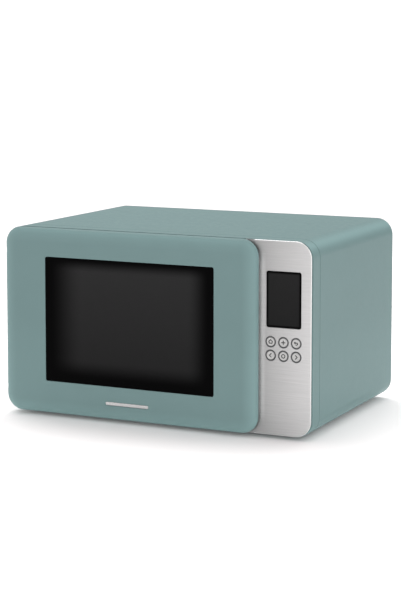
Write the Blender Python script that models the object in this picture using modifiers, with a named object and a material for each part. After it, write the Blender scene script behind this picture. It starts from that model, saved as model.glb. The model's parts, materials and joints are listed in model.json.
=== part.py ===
"""Countertop microwave oven: pillow-edged side-hinged door, steel key panel and wrapped casing.

Blender 4.5. Sizes below are in millimetres and the model is built in metres. +X is the user's
right, +Y runs from the door to the rear wall of the oven, +Z is up. The origin is on the table,
under the middle of the oven.
"""

from math import cos, pi, radians, sin

import bmesh
import bpy
from mathutils import Matrix, Vector

MM = 0.001

# Overall size.
WIDTH = 483.0
HEIGHT = 278.0
DEPTH = 386.0
FOOT_HEIGHT = 5.0
CORNER_R = 25.0
SHEET = 1.0
GAP = 0.3

LEFT, RIGHT = -WIDTH / 2, WIDTH / 2
BOTTOM, TOP = FOOT_HEIGHT, HEIGHT
MIDDLE = (BOTTOM + TOP) / 2

# Stations along Y, from the door's front face to the rear pan.
DOOR_FRONT = -DEPTH / 2
DOOR_REAR = DOOR_FRONT + 12.0
FASCIA_FRONT = DOOR_FRONT + 16.0
FASCIA_THICK = 1.5
RING_FRONT = FASCIA_FRONT + FASCIA_THICK + GAP
PLATE_FRONT = FASCIA_FRONT + 21.0
PLATE_REAR = PLATE_FRONT + SHEET
SEAM = FASCIA_FRONT + 27.0
CASING_REAR = FASCIA_FRONT + 328.0
PAN_REAR = DEPTH / 2

# Casing and structure.
REAR_LIP = 9.0
BASE_HALF = 210.0
FLANGE_HEIGHT = 12.0
FRONT_FLANGE_Y = SEAM + 6.0
RING_EDGE = 0.6
TONGUE_WALL = 2.0
TONGUE_LENGTH = 5.0
PLATE_INSET = 3.6
PANEL_INSET = SHEET + GAP
REAR_PANEL_Y = (CASING_REAR - SHEET - 0.6 - SHEET, CASING_REAR - SHEET - 0.6)
VENT_Y, VENT_Z, VENT_PITCH, VENT_COUNT = 58.0, 195.0, 6.0, 14
SCREW_X = RIGHT - 4.6
SCREW_HOLE_R = 2.2
FOOT_X, FOOT_YS = 190.0, (-132.0, 122.0)
GLAND_X, GLAND_Z = 200.0, 42.0

# Oven cavity.
CAVITY_X = (-211.0, 123.0)
CAVITY_Y = (PLATE_REAR, 174.0)
CAVITY_Z = (31.5, 251.5)
CAVITY_WALL = 0.8
CAVITY_R = 8.0
MOUTH_X = (CAVITY_X[0] + 2.0, CAVITY_X[1] - 2.0)
MOUTH_Z = (CAVITY_Z[0] + 2.0, CAVITY_Z[1] - 2.0)
TABLE_X = sum(CAVITY_X) / 2
TABLE_Y = sum(CAVITY_Y) / 2

# Door.
DOOR_RIGHT = 163.0
DOOR_SKIN = 2.0
ROLL_WIDTH = 14.5
ROLL_DEPTH = 11.0
WINDOW_X = (-171.0, 99.5)
WINDOW_Z = (54.0, 237.0)
WINDOW_R = 3.0
CHOKE_X = (-227.0, 135.0)
CHOKE_Z = (MIDDLE - 118.0, MIDDLE + 118.0)
CHOKE_REAR = PLATE_FRONT - 1.4
CHOKE_SHEET = 1.5
DOOR_BACK_Y = (DOOR_REAR - 2.3, DOOR_REAR - 0.8)

# Hinge, on a vertical axis near the door's left edge.
HINGE_X = LEFT + 8.5
HINGE_Y = DOOR_REAR - 4.5
PIN_R = 2.0
PIN_BORE_R = 2.3
KNUCKLE_R = 3.4
UPPER_KNUCKLE_Z = (240.0, 246.0)
KNUCKLE_GAP = 0.6
BOSS_R, BOSS_LENGTH = 3.6, 6.4
BRACKET_X = (-230.6, -228.6)
BRACKET_Z = (228.0, 252.0)
BRACKET_REAR = PLATE_REAR + 1.8
DOOR_AXIS = (HINGE_X, HINGE_Y, MIDDLE)

# The plain bar let into the door.
BADGE_X, BADGE_Z = (-72.0, -3.0), (27.0, 32.0)

# Latch, in the door's right edge.
HOOK_X = (138.5, 143.5)
HOOK_BOTTOMS = (75.0, 208.0)
HOOK_HEIGHT = 6.0
HOOK_NOSE = 3.0
HOOK_REAR = PLATE_REAR + 11.0
LATCH_TRAVEL = 5.0
LATCH_X = (HOOK_X[0] - 1.0, HOOK_X[1] + 3.5)
LATCH_Y = (DOOR_BACK_Y[0] - 5.7, DOOR_BACK_Y[0] - 3.2)
LATCH_Z = (HOOK_BOTTOMS[0] - 9.0, HOOK_BOTTOMS[1] + 8.0)
LATCH_BOARD_X = (HOOK_X[1] + 5.5, HOOK_X[1] + 8.0)
SPRING_LUG_Z = (LATCH_Z[1] + 27.0, LATCH_Z[1] + 30.0)
SPRING_X, SPRING_Y = sum(LATCH_X) / 2, sum(LATCH_Y) / 2
SPRING_COIL_R, SPRING_WIRE_R = 2.2, 0.4

# Front frame openings.
RECESS_X = (LEFT + 10.5, 151.0)
RECESS_Z = (BOTTOM + 10.0, TOP - 10.0)
BAY_X = (156.0, RIGHT - 9.5)
BAY_Z = (BOTTOM + 9.0, TOP - 9.0)
BAY_R = 14.0

# Control panel.
FASCIA_X = (152.0, RIGHT - 2.0)
FASCIA_Z = (BOTTOM + 0.3, TOP - 0.6)
FASCIA_R = 23.5
TAB_LEFT, TAB_HEIGHT = 141.0, 9.0
DISPLAY_X = (172.3, 224.3)
DISPLAY_Z = (156.4, 234.8)
DISPLAY_R = 3.0
KEY_XS = (179.0, 198.0, 217.0)
KEY_ZS = (136.2, 117.2)
KEY_R = 6.15
KEY_RING = (6.5, 7.6)
KEY_TRAVEL = 1.0
KEY_SIDES = 16
KEY_FLANGE_R, KEY_STEM_R = 7.4, 2.5
CARRIER_Y = (RING_FRONT, RING_FRONT + 1.8)
TUBE_REAR = CARRIER_Y[1] + 5.0
BOARD_Y = (FASCIA_FRONT + 15.0, FASCIA_FRONT + 16.6)

# Turntable.
TABLE = (TABLE_X, TABLE_Y)
PLATE_R = 157.5
PLATE_BOTTOM = 46.5
ROLLER_R = 7.2
ROLLER_TRACK_R = 101.75
ROLLER_WIDTH = 6.5
ROLLER_Z = CAVITY_Z[0] + GAP + ROLLER_R
AXLE_R = 2.0

# Power and air.
DUCT_X = (CAVITY_X[1] + CAVITY_WALL + GAP, 152.0)
DUCT_Y, DUCT_Z = (-50.0, 40.0), (122.0, 212.0)
TUBE_Y, TUBE_Z = -5.0, 165.0
LAMP_Y, LAMP_Z = 100.0, 205.0
FAN_X, FAN_Z = 186.0, 165.0
FAN_BLADES = 5

COLOURS = {
    "teal_paint": ((0.19, 0.28, 0.28), 0.38, 0.2),
    "brushed_steel": ((0.62, 0.62, 0.61), 0.30, 1.0),
    "polished_steel": ((0.75, 0.75, 0.75), 0.10, 1.0),
    "black_glass": ((0.012, 0.012, 0.013), 0.06, 0.0),
    "clear_glass": ((0.80, 0.86, 0.85), 0.04, 0.0),
    "zinc_steel": ((0.48, 0.49, 0.50), 0.42, 1.0),
    "grey_enamel": ((0.36, 0.37, 0.37), 0.40, 0.0),
    "black_plastic": ((0.025, 0.025, 0.027), 0.45, 0.0),
    "grey_plastic": ((0.09, 0.095, 0.10), 0.40, 0.0),
    "white_plastic": ((0.75, 0.75, 0.72), 0.45, 0.0),
    "rubber": ((0.02, 0.02, 0.02), 0.80, 0.0),
    "copper_wire": ((0.60, 0.24, 0.10), 0.35, 1.0),
    "mica": ((0.55, 0.50, 0.42), 0.55, 0.0),
    "circuit_board": ((0.05, 0.20, 0.09), 0.45, 0.0),
    "spring_steel": ((0.55, 0.55, 0.56), 0.25, 1.0),
}


# ---------------------------------------------------------------- scene and shape helpers


def clear_scene():
    for obj in list(bpy.data.objects):
        bpy.data.objects.remove(obj, do_unlink=True)


def new_collection(name):
    collection = bpy.data.collections.new(name)
    bpy.context.scene.collection.children.link(collection)
    return collection


def make_materials():
    made = {}
    for name, (colour, roughness, metallic) in COLOURS.items():
        material = bpy.data.materials.new(name)
        material.use_nodes = True
        shader = material.node_tree.nodes["Principled BSDF"]
        shader.inputs["Base Color"].default_value = (*colour, 1.0)
        shader.inputs["Roughness"].default_value = roughness
        shader.inputs["Metallic"].default_value = metallic
        made[name] = material
    return made


clear_scene()
OVEN = new_collection("microwave_oven")
SHAPES = new_collection("shapes")
MATERIALS = make_materials()


def to_object(bm):
    """A loose shape, in the collection of shapes until part() names it or a Boolean uses it up."""
    mesh = bpy.data.meshes.new("shape")
    bm.to_mesh(mesh)
    bm.free()
    obj = bpy.data.objects.new("shape", mesh)
    obj.hide_render = True
    obj.display_type = "WIRE"
    SHAPES.objects.link(obj)
    return obj


def reshape(obj, change):
    """Runs change(bm) on the object's mesh."""
    bm = bmesh.new()
    bm.from_mesh(obj.data)
    change(bm)
    bm.to_mesh(obj.data)
    bm.free()
    return obj


def keep_evaluated(obj):
    """Puts the result of the object's modifiers into its mesh."""
    graph = bpy.context.evaluated_depsgraph_get()
    mesh = bpy.data.meshes.new_from_object(obj.evaluated_get(graph))
    obj.modifiers.clear()
    obj.data = mesh
    return obj


def box(x, y, z):
    """A box between three (low, high) pairs, in millimetres."""
    bm = bmesh.new()
    bmesh.ops.create_cube(bm, size=1.0)
    for vert in bm.verts:
        vert.co = [((low + high) / 2 + c * (high - low)) * MM for c, (low, high) in zip(vert.co, (x, y, z))]
    return to_object(bm)


def rounded_box(x, y, z, radius, along="Y", segments=6, where=None):
    """A box whose edges along one axis are rounded; where(x, y, z) can pick some of the four."""
    axis = "XYZ".index(along)

    def round_edges(bm):
        edges = []
        for edge in bm.edges:
            run = edge.verts[1].co - edge.verts[0].co
            middle = (edge.verts[0].co + edge.verts[1].co) / 2 / MM
            if abs(run[axis]) > run.length * 0.99 and (where is None or where(*middle)):
                edges.append(edge)
        bmesh.ops.bevel(bm, geom=edges, offset=radius * MM, offset_type="OFFSET",
                        segments=segments, profile=0.5, affect="EDGES")

    return reshape(box(x, y, z), round_edges)


def round_end(obj, along, station, width, segments):
    """Rounds the edges of a prism's flat end, which lies at one station on its axis."""
    axis = "XYZ".index(along)

    def round_edges(bm):
        edges = [e for e in bm.edges if all(abs(v.co[axis] / MM - station) < 0.01 for v in e.verts)]
        bmesh.ops.bevel(bm, geom=edges, offset=width * MM, offset_type="OFFSET",
                        segments=segments, profile=0.5, affect="EDGES")

    return reshape(obj, round_edges)


def turn_to(axis, at):
    """The matrix that takes a shape made round Z to another axis, through at = the other two coordinates."""
    if axis == "X":
        return Matrix(((0, 0, 1, 0), (1, 0, 0, at[0] * MM), (0, 1, 0, at[1] * MM), (0, 0, 0, 1)))
    if axis == "Y":
        return Matrix(((0, 1, 0, at[0] * MM), (0, 0, 1, 0), (1, 0, 0, at[1] * MM), (0, 0, 0, 1)))
    return Matrix.Translation((at[0] * MM, at[1] * MM, 0))


def rod(axis, at, span, radius, segments=24, end_radius=None):
    """A cylinder, or a cone, along an axis; at is its place in the other two axes, in their order."""
    bm = bmesh.new()
    top = radius if end_radius is None else end_radius
    middle = Matrix.Translation((0, 0, (span[0] + span[1]) / 2 * MM))
    bmesh.ops.create_cone(bm, cap_ends=True, segments=segments, radius1=radius * MM,
                          radius2=top * MM, depth=(span[1] - span[0]) * MM,
                          matrix=turn_to(axis, at) @ middle)
    return to_object(bm)


def turned(axis, at, profile, steps=32, ring=False):
    """A turned solid: profile holds (radius, height) down its outer side, from the axis to the axis."""
    bm = bmesh.new()
    verts = [bm.verts.new((r * MM, 0, h * MM)) for r, h in profile]
    for first, second in zip(verts, verts[1:] + (verts[:1] if ring else [])):
        bm.edges.new((first, second))
    obj = to_object(bm)
    screw = obj.modifiers.new("turn", "SCREW")
    screw.steps = screw.render_steps = steps
    screw.use_merge_vertices = True
    screw.merge_threshold = 0.00001
    keep_evaluated(obj)
    obj.data.transform(turn_to(axis, at))
    return obj


def extruded(points, z):
    """A prism over a flat outline of (x, y) points, between two heights."""
    curve = bpy.data.curves.new("outline", "CURVE")
    curve.dimensions = "2D"
    curve.fill_mode = "BOTH"
    curve.extrude = (z[1] - z[0]) / 2 * MM
    spline = curve.splines.new("POLY")
    spline.points.add(len(points) - 1)
    for point, (x, y) in zip(spline.points, points):
        point.co = (x * MM, y * MM, 0, 1)
    spline.use_cyclic_u = True
    outline = bpy.data.objects.new("outline", curve)
    SHAPES.objects.link(outline)
    graph = bpy.context.evaluated_depsgraph_get()
    bm = bmesh.new()
    bm.from_mesh(bpy.data.meshes.new_from_object(outline.evaluated_get(graph)))
    bpy.data.objects.remove(outline, do_unlink=True)
    bmesh.ops.remove_doubles(bm, verts=bm.verts, dist=0.000001)
    bmesh.ops.translate(bm, verts=bm.verts, vec=(0, 0, (z[0] + z[1]) / 2 * MM))
    bmesh.ops.recalc_face_normals(bm, faces=bm.faces)
    return to_object(bm)


def together(shapes):
    """Shapes that stay clear of each other, as one cutter."""
    bm = bmesh.new()
    for shape in shapes:
        bm.from_mesh(shape.data)
        bpy.data.objects.remove(shape, do_unlink=True)
    return to_object(bm)


def boolean(body, tools, operation):
    for tool in tools:
        modifier = body.modifiers.new(operation.lower(), "BOOLEAN")
        modifier.operation = operation
        modifier.solver = "EXACT"
        modifier.object = tool
    keep_evaluated(body)
    for tool in tools:
        bpy.data.objects.remove(tool, do_unlink=True)
    return body


def cut(body, *tools):
    return boolean(body, tools, "DIFFERENCE")


def join(body, *tools):
    return boolean(body, tools, "UNION")


def turned_about(obj, angle, at):
    """Turns a shape about the vertical line through at."""
    centre = Matrix.Translation((at[0] * MM, at[1] * MM, 0))
    obj.data.transform(centre @ Matrix.Rotation(angle, 4, "Z") @ centre.inverted())
    return obj


def part(name, obj, material, origin=(0, 0, 0)):
    """Names a finished shape, gives it its material and puts its origin on its joint's axis."""
    place = Vector(origin) * MM
    obj.name = obj.data.name = name
    obj.data.transform(Matrix.Translation(-place))
    obj.location = place
    obj.data.materials.clear()
    obj.data.materials.append(MATERIALS[material])
    obj.data.shade_smooth()
    obj.data.set_sharp_from_angle(angle=radians(30))
    obj.hide_render = False
    obj.display_type = "TEXTURED"
    SHAPES.objects.unlink(obj)
    OVEN.objects.link(obj)
    return obj


def wrap(inset, y, segments=6):
    """A prism over the oven's rounded front outline, set in from it."""
    return rounded_box((LEFT + inset, RIGHT - inset), y, (BOTTOM + inset, TOP - inset),
                       CORNER_R - inset, segments=segments)


def on_the_right(x, y, z):
    """Picks the key panel's outer corners."""
    return x > 200


def mirrored_z(z):
    """A height range reflected in the oven's middle height."""
    return (2 * MIDDLE - z[1], 2 * MIDDLE - z[0])


def slots(axis_range, centres, size, along, across, radius):
    """Slots with round ends: a box through axis_range at each centre, joined as one cutter."""
    cutters = []
    for first, second in centres:
        spans = {along: axis_range}
        others = [a for a in "XYZ" if a != along]
        spans[others[0]] = (first - size[0] / 2, first + size[0] / 2)
        spans[others[1]] = (second - size[1] / 2, second + size[1] / 2)
        cutters.append(rounded_box(spans["X"], spans["Y"], spans["Z"], radius, along, across))
    return together(cutters)


# ---------------------------------------------------------------- casing and structure


def rear_holes(y):
    """A cutter for the two holes of the rear screws."""
    return together([rod("Y", (side * SCREW_X, MIDDLE), y, SCREW_HOLE_R, 12) for side in (-1, 1)])


def casing():
    """The painted wrapper: one sheet over both sides and the top, turned under at the bottom."""
    shell = wrap(0, (SEAM, CASING_REAR))
    hollow = wrap(SHEET, (SEAM - 10, CASING_REAR - SHEET))
    rear_opening = wrap(REAR_LIP, (CASING_REAR - 5, CASING_REAR + 5), 4)
    underside = box((-BASE_HALF, BASE_HALF), (SEAM - 10, CASING_REAR + 10), (BOTTOM - 5, BOTTOM + REAR_LIP + 2))
    vents = slots((LEFT - 5, LEFT + 5), [(VENT_Y + VENT_PITCH * i, VENT_Z) for i in range(VENT_COUNT)],
                  (2.6, 46.0), "X", 1, 1.0)
    screw_holes = rear_holes((CASING_REAR - 5, CASING_REAR + 5))
    part("casing", cut(shell, hollow, rear_opening, underside, vents, screw_holes), "teal_paint")


def base_plate():
    """The floor sheet, with a flange up at the front and the rear and intake slots on the right."""
    front, rear = SEAM + GAP, REAR_PANEL_Y[0] - GAP
    half, flange_z = BASE_HALF - GAP, (BOTTOM + SHEET / 2, BOTTOM + FLANGE_HEIGHT)
    sheet = box((-half, half), (front, rear), (BOTTOM, BOTTOM + SHEET))
    front_flange = box((-half, half), (FRONT_FLANGE_Y, FRONT_FLANGE_Y + SHEET), flange_z)
    rear_flange = box((-half, half), (rear - SHEET, rear), flange_z)
    feet = together([rod("Z", (side * FOOT_X, y), (BOTTOM - 2, BOTTOM + 3), 4.0, 16)
                     for side in (-1, 1) for y in FOOT_YS])
    intake = slots((BOTTOM - 2, BOTTOM + 3), [(154 + 10.0 * i, 82.0) for i in range(7)],
                   (3.6, 44.0), "Z", 1, 1.2)
    part("base_plate", cut(join(sheet, front_flange, rear_flange), feet, intake), "zinc_steel")


def rear_panel():
    """The rear sheet, pressed out into a pan that clears the cavity, with grilles and the cord hole."""
    pan_x, pan_z, pan_r, press = (-222.0, 134.0), (21.0, 262.0), 18.0, 8.0
    sheet = wrap(PANEL_INSET, REAR_PANEL_Y)
    pan = rounded_box(pan_x, (REAR_PANEL_Y[0] + 0.2, PAN_REAR), pan_z, pan_r, segments=4)
    round_end(pan, "Y", PAN_REAR, press, 2)
    inner_x = (pan_x[0] + SHEET, pan_x[1] - SHEET)
    inner_z = (pan_z[0] + SHEET, pan_z[1] - SHEET)
    pocket = rounded_box(inner_x, (REAR_PANEL_Y[0] - 10, PAN_REAR - SHEET), inner_z, pan_r - SHEET, segments=4)
    round_end(pocket, "Y", PAN_REAR - SHEET, press - SHEET, 2)
    grille = slots((REAR_PANEL_Y[0] - 5, REAR_PANEL_Y[1] + 5),
                   [(FAN_X, FAN_Z - 30 + 10.0 * i) for i in range(7)], (62.0, 4.6), "Y", 1, 1.6)
    exhaust = slots((PAN_REAR - 5, PAN_REAR + 5),
                    [(TABLE_X - 67.5 + 15.0 * i, 212.0) for i in range(10)], (5.0, 40.0), "Y", 1, 1.6)
    cord_hole = rod("Y", (GLAND_X, GLAND_Z), (REAR_PANEL_Y[0] - 5, REAR_PANEL_Y[1] + 5), 8.4, 20)
    screw_holes = rear_holes((REAR_PANEL_Y[0] - 5, REAR_PANEL_Y[1] + 5))
    part("rear_panel", cut(join(sheet, pan), pocket, grille, exhaust, cord_hole, screw_holes), "zinc_steel")


def rear_screws():
    for name, side in (("rear_screw_left", -1), ("rear_screw_right", 1)):
        head = CASING_REAR + GAP
        profile = [(0, head + 2.2), (2.6, head + 1.9), (4.0, head + 0.6), (4.0, head),
                   (1.8, head), (1.8, head - 9.0), (0, head - 10.5)]
        part(name, turned("Y", (side * SCREW_X, MIDDLE), profile, 12), "zinc_steel")


def feet():
    """Push-in rubber feet: a tapered pad, a neck through the base plate and a barb above it."""
    under, over = BOTTOM - GAP, BOTTOM + SHEET + GAP
    profile = [(0, over + 4.0), (3.4, over + 3.2), (5.2, over), (3.6, over), (3.6, under),
               (12.0, under), (10.6, 0), (0, 0)]
    places = {"left": -1, "right": 1}
    for side_name, side in places.items():
        for end_name, y in zip(("front", "rear"), FOOT_YS):
            part(f"foot_{end_name}_{side_name}", turned("Z", (side * FOOT_X, y), profile, 14), "rubber")


def front_frame():
    """The moulded ring round the door and the key panel; its tongue plugs into the casing."""
    ring = wrap(0, (RING_FRONT, SEAM - GAP))
    round_end(ring, "Y", RING_FRONT, RING_EDGE, 3)
    tongue = wrap(PANEL_INSET, (SEAM - 4, SEAM + TONGUE_LENGTH))
    through = (RING_FRONT - 5, PLATE_FRONT + 1)
    recess = rounded_box(RECESS_X, through, RECESS_Z, 4.0, segments=3)
    bay = rounded_box(BAY_X, through, BAY_Z, BAY_R, segments=6, where=on_the_right)
    behind = wrap(PANEL_INSET + TONGUE_WALL, (PLATE_FRONT - 1.5, SEAM + 2 * TONGUE_LENGTH), 6)
    part("front_frame", cut(join(ring, tongue), recess, bay, behind), "teal_paint")


def front_plate():
    """The steel bulkhead that the door's choke closes on, with the cavity mouth and the slots."""
    through = (PLATE_FRONT - 5, PLATE_REAR + 5)
    sheet = wrap(PLATE_INSET, (PLATE_FRONT, PLATE_REAR), 6)
    mouth = rounded_box(MOUTH_X, through, MOUTH_Z, CAVITY_R, segments=4)
    bay = rounded_box((162.0, 228.0), through, (34.0, 250.0), 4.0, segments=2)
    bracket_slots = together([box((BRACKET_X[0] - 0.5, BRACKET_X[1] + 0.5), through, (z[0] - 0.5, z[1] + 0.5))
                              for z in (BRACKET_Z, mirrored_z(BRACKET_Z))])
    hook_slots = together([box((HOOK_X[0] - 2.0, HOOK_X[1] + 4.5), through,
                               (low - HOOK_NOSE - 2.0, low + HOOK_HEIGHT + LATCH_TRAVEL + 2.0))
                           for low in HOOK_BOTTOMS])
    part("front_plate", cut(sheet, mouth, bay, bracket_slots, hook_slots), "grey_enamel")


def cavity_liner():
    """The oven cavity: a folded box with a front flange, a drive hole, a wave port and air holes."""
    wall, flange = CAVITY_WALL, 6.0
    outer_x = (CAVITY_X[0] - wall, CAVITY_X[1] + wall)
    outer_z = (CAVITY_Z[0] - wall, CAVITY_Z[1] + wall)
    front = PLATE_REAR + GAP
    shell = rounded_box(outer_x, (front, CAVITY_Y[1] + wall), outer_z, CAVITY_R + wall, segments=3)
    rim = rounded_box((outer_x[0] - flange, outer_x[1] + flange), (front, front + wall),
                      (outer_z[0] - flange, outer_z[1] + flange), CAVITY_R + flange, segments=3)
    hollow = rounded_box(CAVITY_X, (front - 5, CAVITY_Y[1]), CAVITY_Z, CAVITY_R, segments=3)
    drive_hole = rod("Z", (TABLE_X, TABLE_Y), (CAVITY_Z[0] - 5, CAVITY_Z[0] + 5), 9.0, 20)
    right_wall = (CAVITY_X[1] - 4, CAVITY_X[1] + 4)
    port = box(right_wall, (-45, 35), (130, 205))
    lamp_holes = together([rod("X", (LAMP_Y + dy, LAMP_Z + dz), right_wall, 3.0, 8)
                           for dy in (-6, 6) for dz in (-6, 6)])
    air_outlet = slots((CAVITY_X[0] - 4, CAVITY_X[0] + 4), [(70 + 10.0 * i, 200.0) for i in range(5)],
                       (4.0, 30.0), "X", 1, 1.0)
    body = join(shell, rim)
    part("cavity_liner", cut(body, hollow, drive_hole, port, lamp_holes, air_outlet), "grey_enamel")


# ---------------------------------------------------------------- hinges and door


def hinge_brackets():
    """A flange behind the front plate, a vertical web through its slot and a knuckle for the pin."""
    web_front = HINGE_Y + 10.5
    for name, knuckle, web in (
        ("hinge_bracket_upper", UPPER_KNUCKLE_Z, BRACKET_Z),
        ("hinge_bracket_lower", mirrored_z(UPPER_KNUCKLE_Z), mirrored_z(BRACKET_Z)),
    ):
        plate = box(BRACKET_X, (web_front, BRACKET_REAR), web)
        flange = box((BRACKET_X[0], BRACKET_X[0] + 11.0), (PLATE_REAR + GAP, BRACKET_REAR), web)
        neck = extruded([(HINGE_X - 3.3, HINGE_Y), (HINGE_X + 3.3, HINGE_Y), (BRACKET_X[1], web_front + 1.0),
                         (BRACKET_X[0], web_front + 1.0), (BRACKET_X[0], web_front - 1.0)], knuckle)
        barrel = rod("Z", (HINGE_X, HINGE_Y), knuckle, KNUCKLE_R, 16)
        bore = rod("Z", (HINGE_X, HINGE_Y), (knuckle[0] - 2, knuckle[1] + 2), PIN_BORE_R, 14)
        part(name, cut(join(plate, flange, neck, barrel), bore), "zinc_steel")


def hinge_pins():
    origin = (HINGE_X, HINGE_Y, MIDDLE)
    for name, knuckle in (("hinge_pin_upper", UPPER_KNUCKLE_Z),
                          ("hinge_pin_lower", mirrored_z(UPPER_KNUCKLE_Z))):
        pin = rod("Z", (HINGE_X, HINGE_Y), (knuckle[0] - 7.0, knuckle[1] + 7.3), PIN_R, 14)
        part(name, pin, "zinc_steel", origin)


def pillow(inset):
    """The door's outer form, or its hollow when set in: a slab whose front edges roll over.

    The roll is an ellipse, wider than it is deep, so a round bevel is made on a thicker slab
    and the slab is then pressed flatter along Y.
    """
    width, depth = ROLL_WIDTH - inset, ROLL_DEPTH - inset
    front = DOOR_FRONT + inset
    rear = DOOR_REAR if inset == 0 else DOOR_REAR + 3
    press = depth / width
    slab = rounded_box((LEFT + inset, DOOR_RIGHT - inset), (0, (rear - front) / press),
                       (BOTTOM + inset, TOP - inset), CORNER_R - inset, segments=6)
    round_end(slab, "Y", 0, width, 4)
    slab.data.transform(Matrix.Translation((0, front * MM, 0)) @ Matrix.Diagonal((1, press, 1, 1)))
    return slab


def door_shell():
    """The painted door skin, with the window hole, the badge recess and notches for the knuckles."""
    shell = cut(pillow(0), pillow(DOOR_SKIN))
    window = rounded_box(WINDOW_X, (DOOR_FRONT - 5, DOOR_FRONT + 5), WINDOW_Z, WINDOW_R, segments=2)
    badge = rounded_box((BADGE_X[0] - GAP, BADGE_X[1] + GAP), (DOOR_FRONT - 5, DOOR_FRONT + 1.0),
                        (BADGE_Z[0] - GAP, BADGE_Z[1] + GAP), 2.5, segments=3)
    notches = together([box((LEFT - 3, LEFT + 6), (HINGE_Y - 1.7, DOOR_REAR + 3), (z[0] - 0.5, z[1] + 0.5))
                        for z in (UPPER_KNUCKLE_Z, mirrored_z(UPPER_KNUCKLE_Z))])
    part("door_shell", cut(shell, window, badge, notches), "teal_paint", DOOR_AXIS)


def door_badge():
    """A plain polished bar, flush with the door."""
    bar = rounded_box(BADGE_X, (DOOR_FRONT, DOOR_FRONT + 0.7), BADGE_Z, 2.2, segments=3)
    part("door_badge", bar, "polished_steel", DOOR_AXIS)


def door_glass():
    """A stepped pane: its front fills the window, and its wider rear is bonded behind the skin."""
    lap = 6.0
    front = rounded_box((WINDOW_X[0] + GAP, WINDOW_X[1] - GAP), (DOOR_FRONT + 0.1, DOOR_FRONT + 3.0),
                        (WINDOW_Z[0] + GAP, WINDOW_Z[1] - GAP), WINDOW_R, segments=2)
    rear = rounded_box((WINDOW_X[0] - lap, WINDOW_X[1] + lap), (DOOR_FRONT + DOOR_SKIN + GAP, DOOR_FRONT + 4.3),
                       (WINDOW_Z[0] - lap, WINDOW_Z[1] + lap), 4.0, segments=2)
    part("door_glass", join(front, rear), "black_glass", DOOR_AXIS)


def door_inner_frame():
    """The steel door back: a flange inside the skin, the raised choke tray and the pin bosses."""
    edge = DOOR_SKIN + 0.6
    flange = rounded_box((LEFT + edge, DOOR_RIGHT - edge), DOOR_BACK_Y, (BOTTOM + edge, TOP - edge),
                         CORNER_R - edge, segments=6)
    tray = rounded_box(CHOKE_X, (DOOR_BACK_Y[0] + 0.3, CHOKE_REAR), CHOKE_Z, 6.0, segments=3)
    lug = box((HOOK_X[0] - 1, HOOK_X[1] + 3.5), (DOOR_BACK_Y[0] - 6.7, DOOR_BACK_Y[1] - 0.3), SPRING_LUG_Z)
    bosses = []
    for knuckle in (UPPER_KNUCKLE_Z, mirrored_z(UPPER_KNUCKLE_Z)):
        for low in (knuckle[0] - KNUCKLE_GAP - BOSS_LENGTH, knuckle[1] + KNUCKLE_GAP):
            bosses.append(rod("Z", (HINGE_X, HINGE_Y), (low, low + BOSS_LENGTH), BOSS_R, 14))
    body = join(flange, tray, lug, *bosses)
    pocket = rounded_box((CHOKE_X[0] + CHOKE_SHEET, CHOKE_X[1] - CHOKE_SHEET),
                         (DOOR_BACK_Y[0] - 3, CHOKE_REAR - CHOKE_SHEET),
                         (CHOKE_Z[0] + CHOKE_SHEET, CHOKE_Z[1] - CHOKE_SHEET), 4.5, segments=3)
    view = rounded_box((WINDOW_X[0] - 4, WINDOW_X[1] + 4), (CHOKE_REAR - 5, CHOKE_REAR + 5),
                       (WINDOW_Z[0] - 4, WINDOW_Z[1] + 4), 4.0, segments=2)
    knuckle_room = together([box((LEFT, CHOKE_X[0] - 1.0), (DOOR_BACK_Y[0] - 1.5, DOOR_BACK_Y[1] + 5),
                                 (z[0] - 0.5, z[1] + 0.5))
                             for z in (UPPER_KNUCKLE_Z, mirrored_z(UPPER_KNUCKLE_Z))])
    pin_bores = together([rod("Z", (HINGE_X, HINGE_Y), (z[0] - 9, z[1] + 9), PIN_BORE_R, 14)
                          for z in (UPPER_KNUCKLE_Z, mirrored_z(UPPER_KNUCKLE_Z))])
    hook_slots = together([box((HOOK_X[0] - 0.7, HOOK_X[1] + 0.7), (DOOR_BACK_Y[0] - 1, DOOR_BACK_Y[1] + 1),
                               (low - 0.7, low + HOOK_HEIGHT + LATCH_TRAVEL + 0.7)) for low in HOOK_BOTTOMS])
    part("door_inner_frame", cut(body, pocket, view, knuckle_room, pin_bores, hook_slots), "black_plastic",
         DOOR_AXIS)


def door_shield():
    """The microwave screen in front of the choke tray's floor."""
    lap, front = 9.0, CHOKE_REAR - CHOKE_SHEET - GAP - 0.8
    sheet = box((WINDOW_X[0] - lap, WINDOW_X[1] + lap), (front, front + 0.8),
                (WINDOW_Z[0] - lap, WINDOW_Z[1] + lap))
    part("door_shield", sheet, "black_plastic", DOOR_AXIS)


def door_inner_film():
    """The clear sheet that closes the door on the oven side."""
    lap = 12.0
    sheet = box((WINDOW_X[0] - lap, WINDOW_X[1] + lap), (CHOKE_REAR + GAP, CHOKE_REAR + GAP + 0.5),
                (WINDOW_Z[0] - lap, WINDOW_Z[1] + lap))
    part("door_inner_film", sheet, "clear_glass", DOOR_AXIS)


def latch_hook():
    """The slider in the door's edge, with two hooks that reach through the front plate."""
    slider = box(LATCH_X, LATCH_Y, LATCH_Z)
    pieces = []
    for low in HOOK_BOTTOMS:
        pieces.append(box(HOOK_X, (LATCH_Y[1] - 1, HOOK_REAR), (low, low + HOOK_HEIGHT)))
        nose = rounded_box(HOOK_X, (HOOK_REAR - 6, HOOK_REAR), (low - HOOK_NOSE, low + 1.0), 2.0, "X", 3,
                           where=lambda x, y, z, floor=low: y > HOOK_REAR - 3 and z < floor)
        pieces.append(nose)
    part("latch_hook", join(slider, *pieces), "white_plastic", (SPRING_X, SPRING_Y, LATCH_Z[1]))


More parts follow.
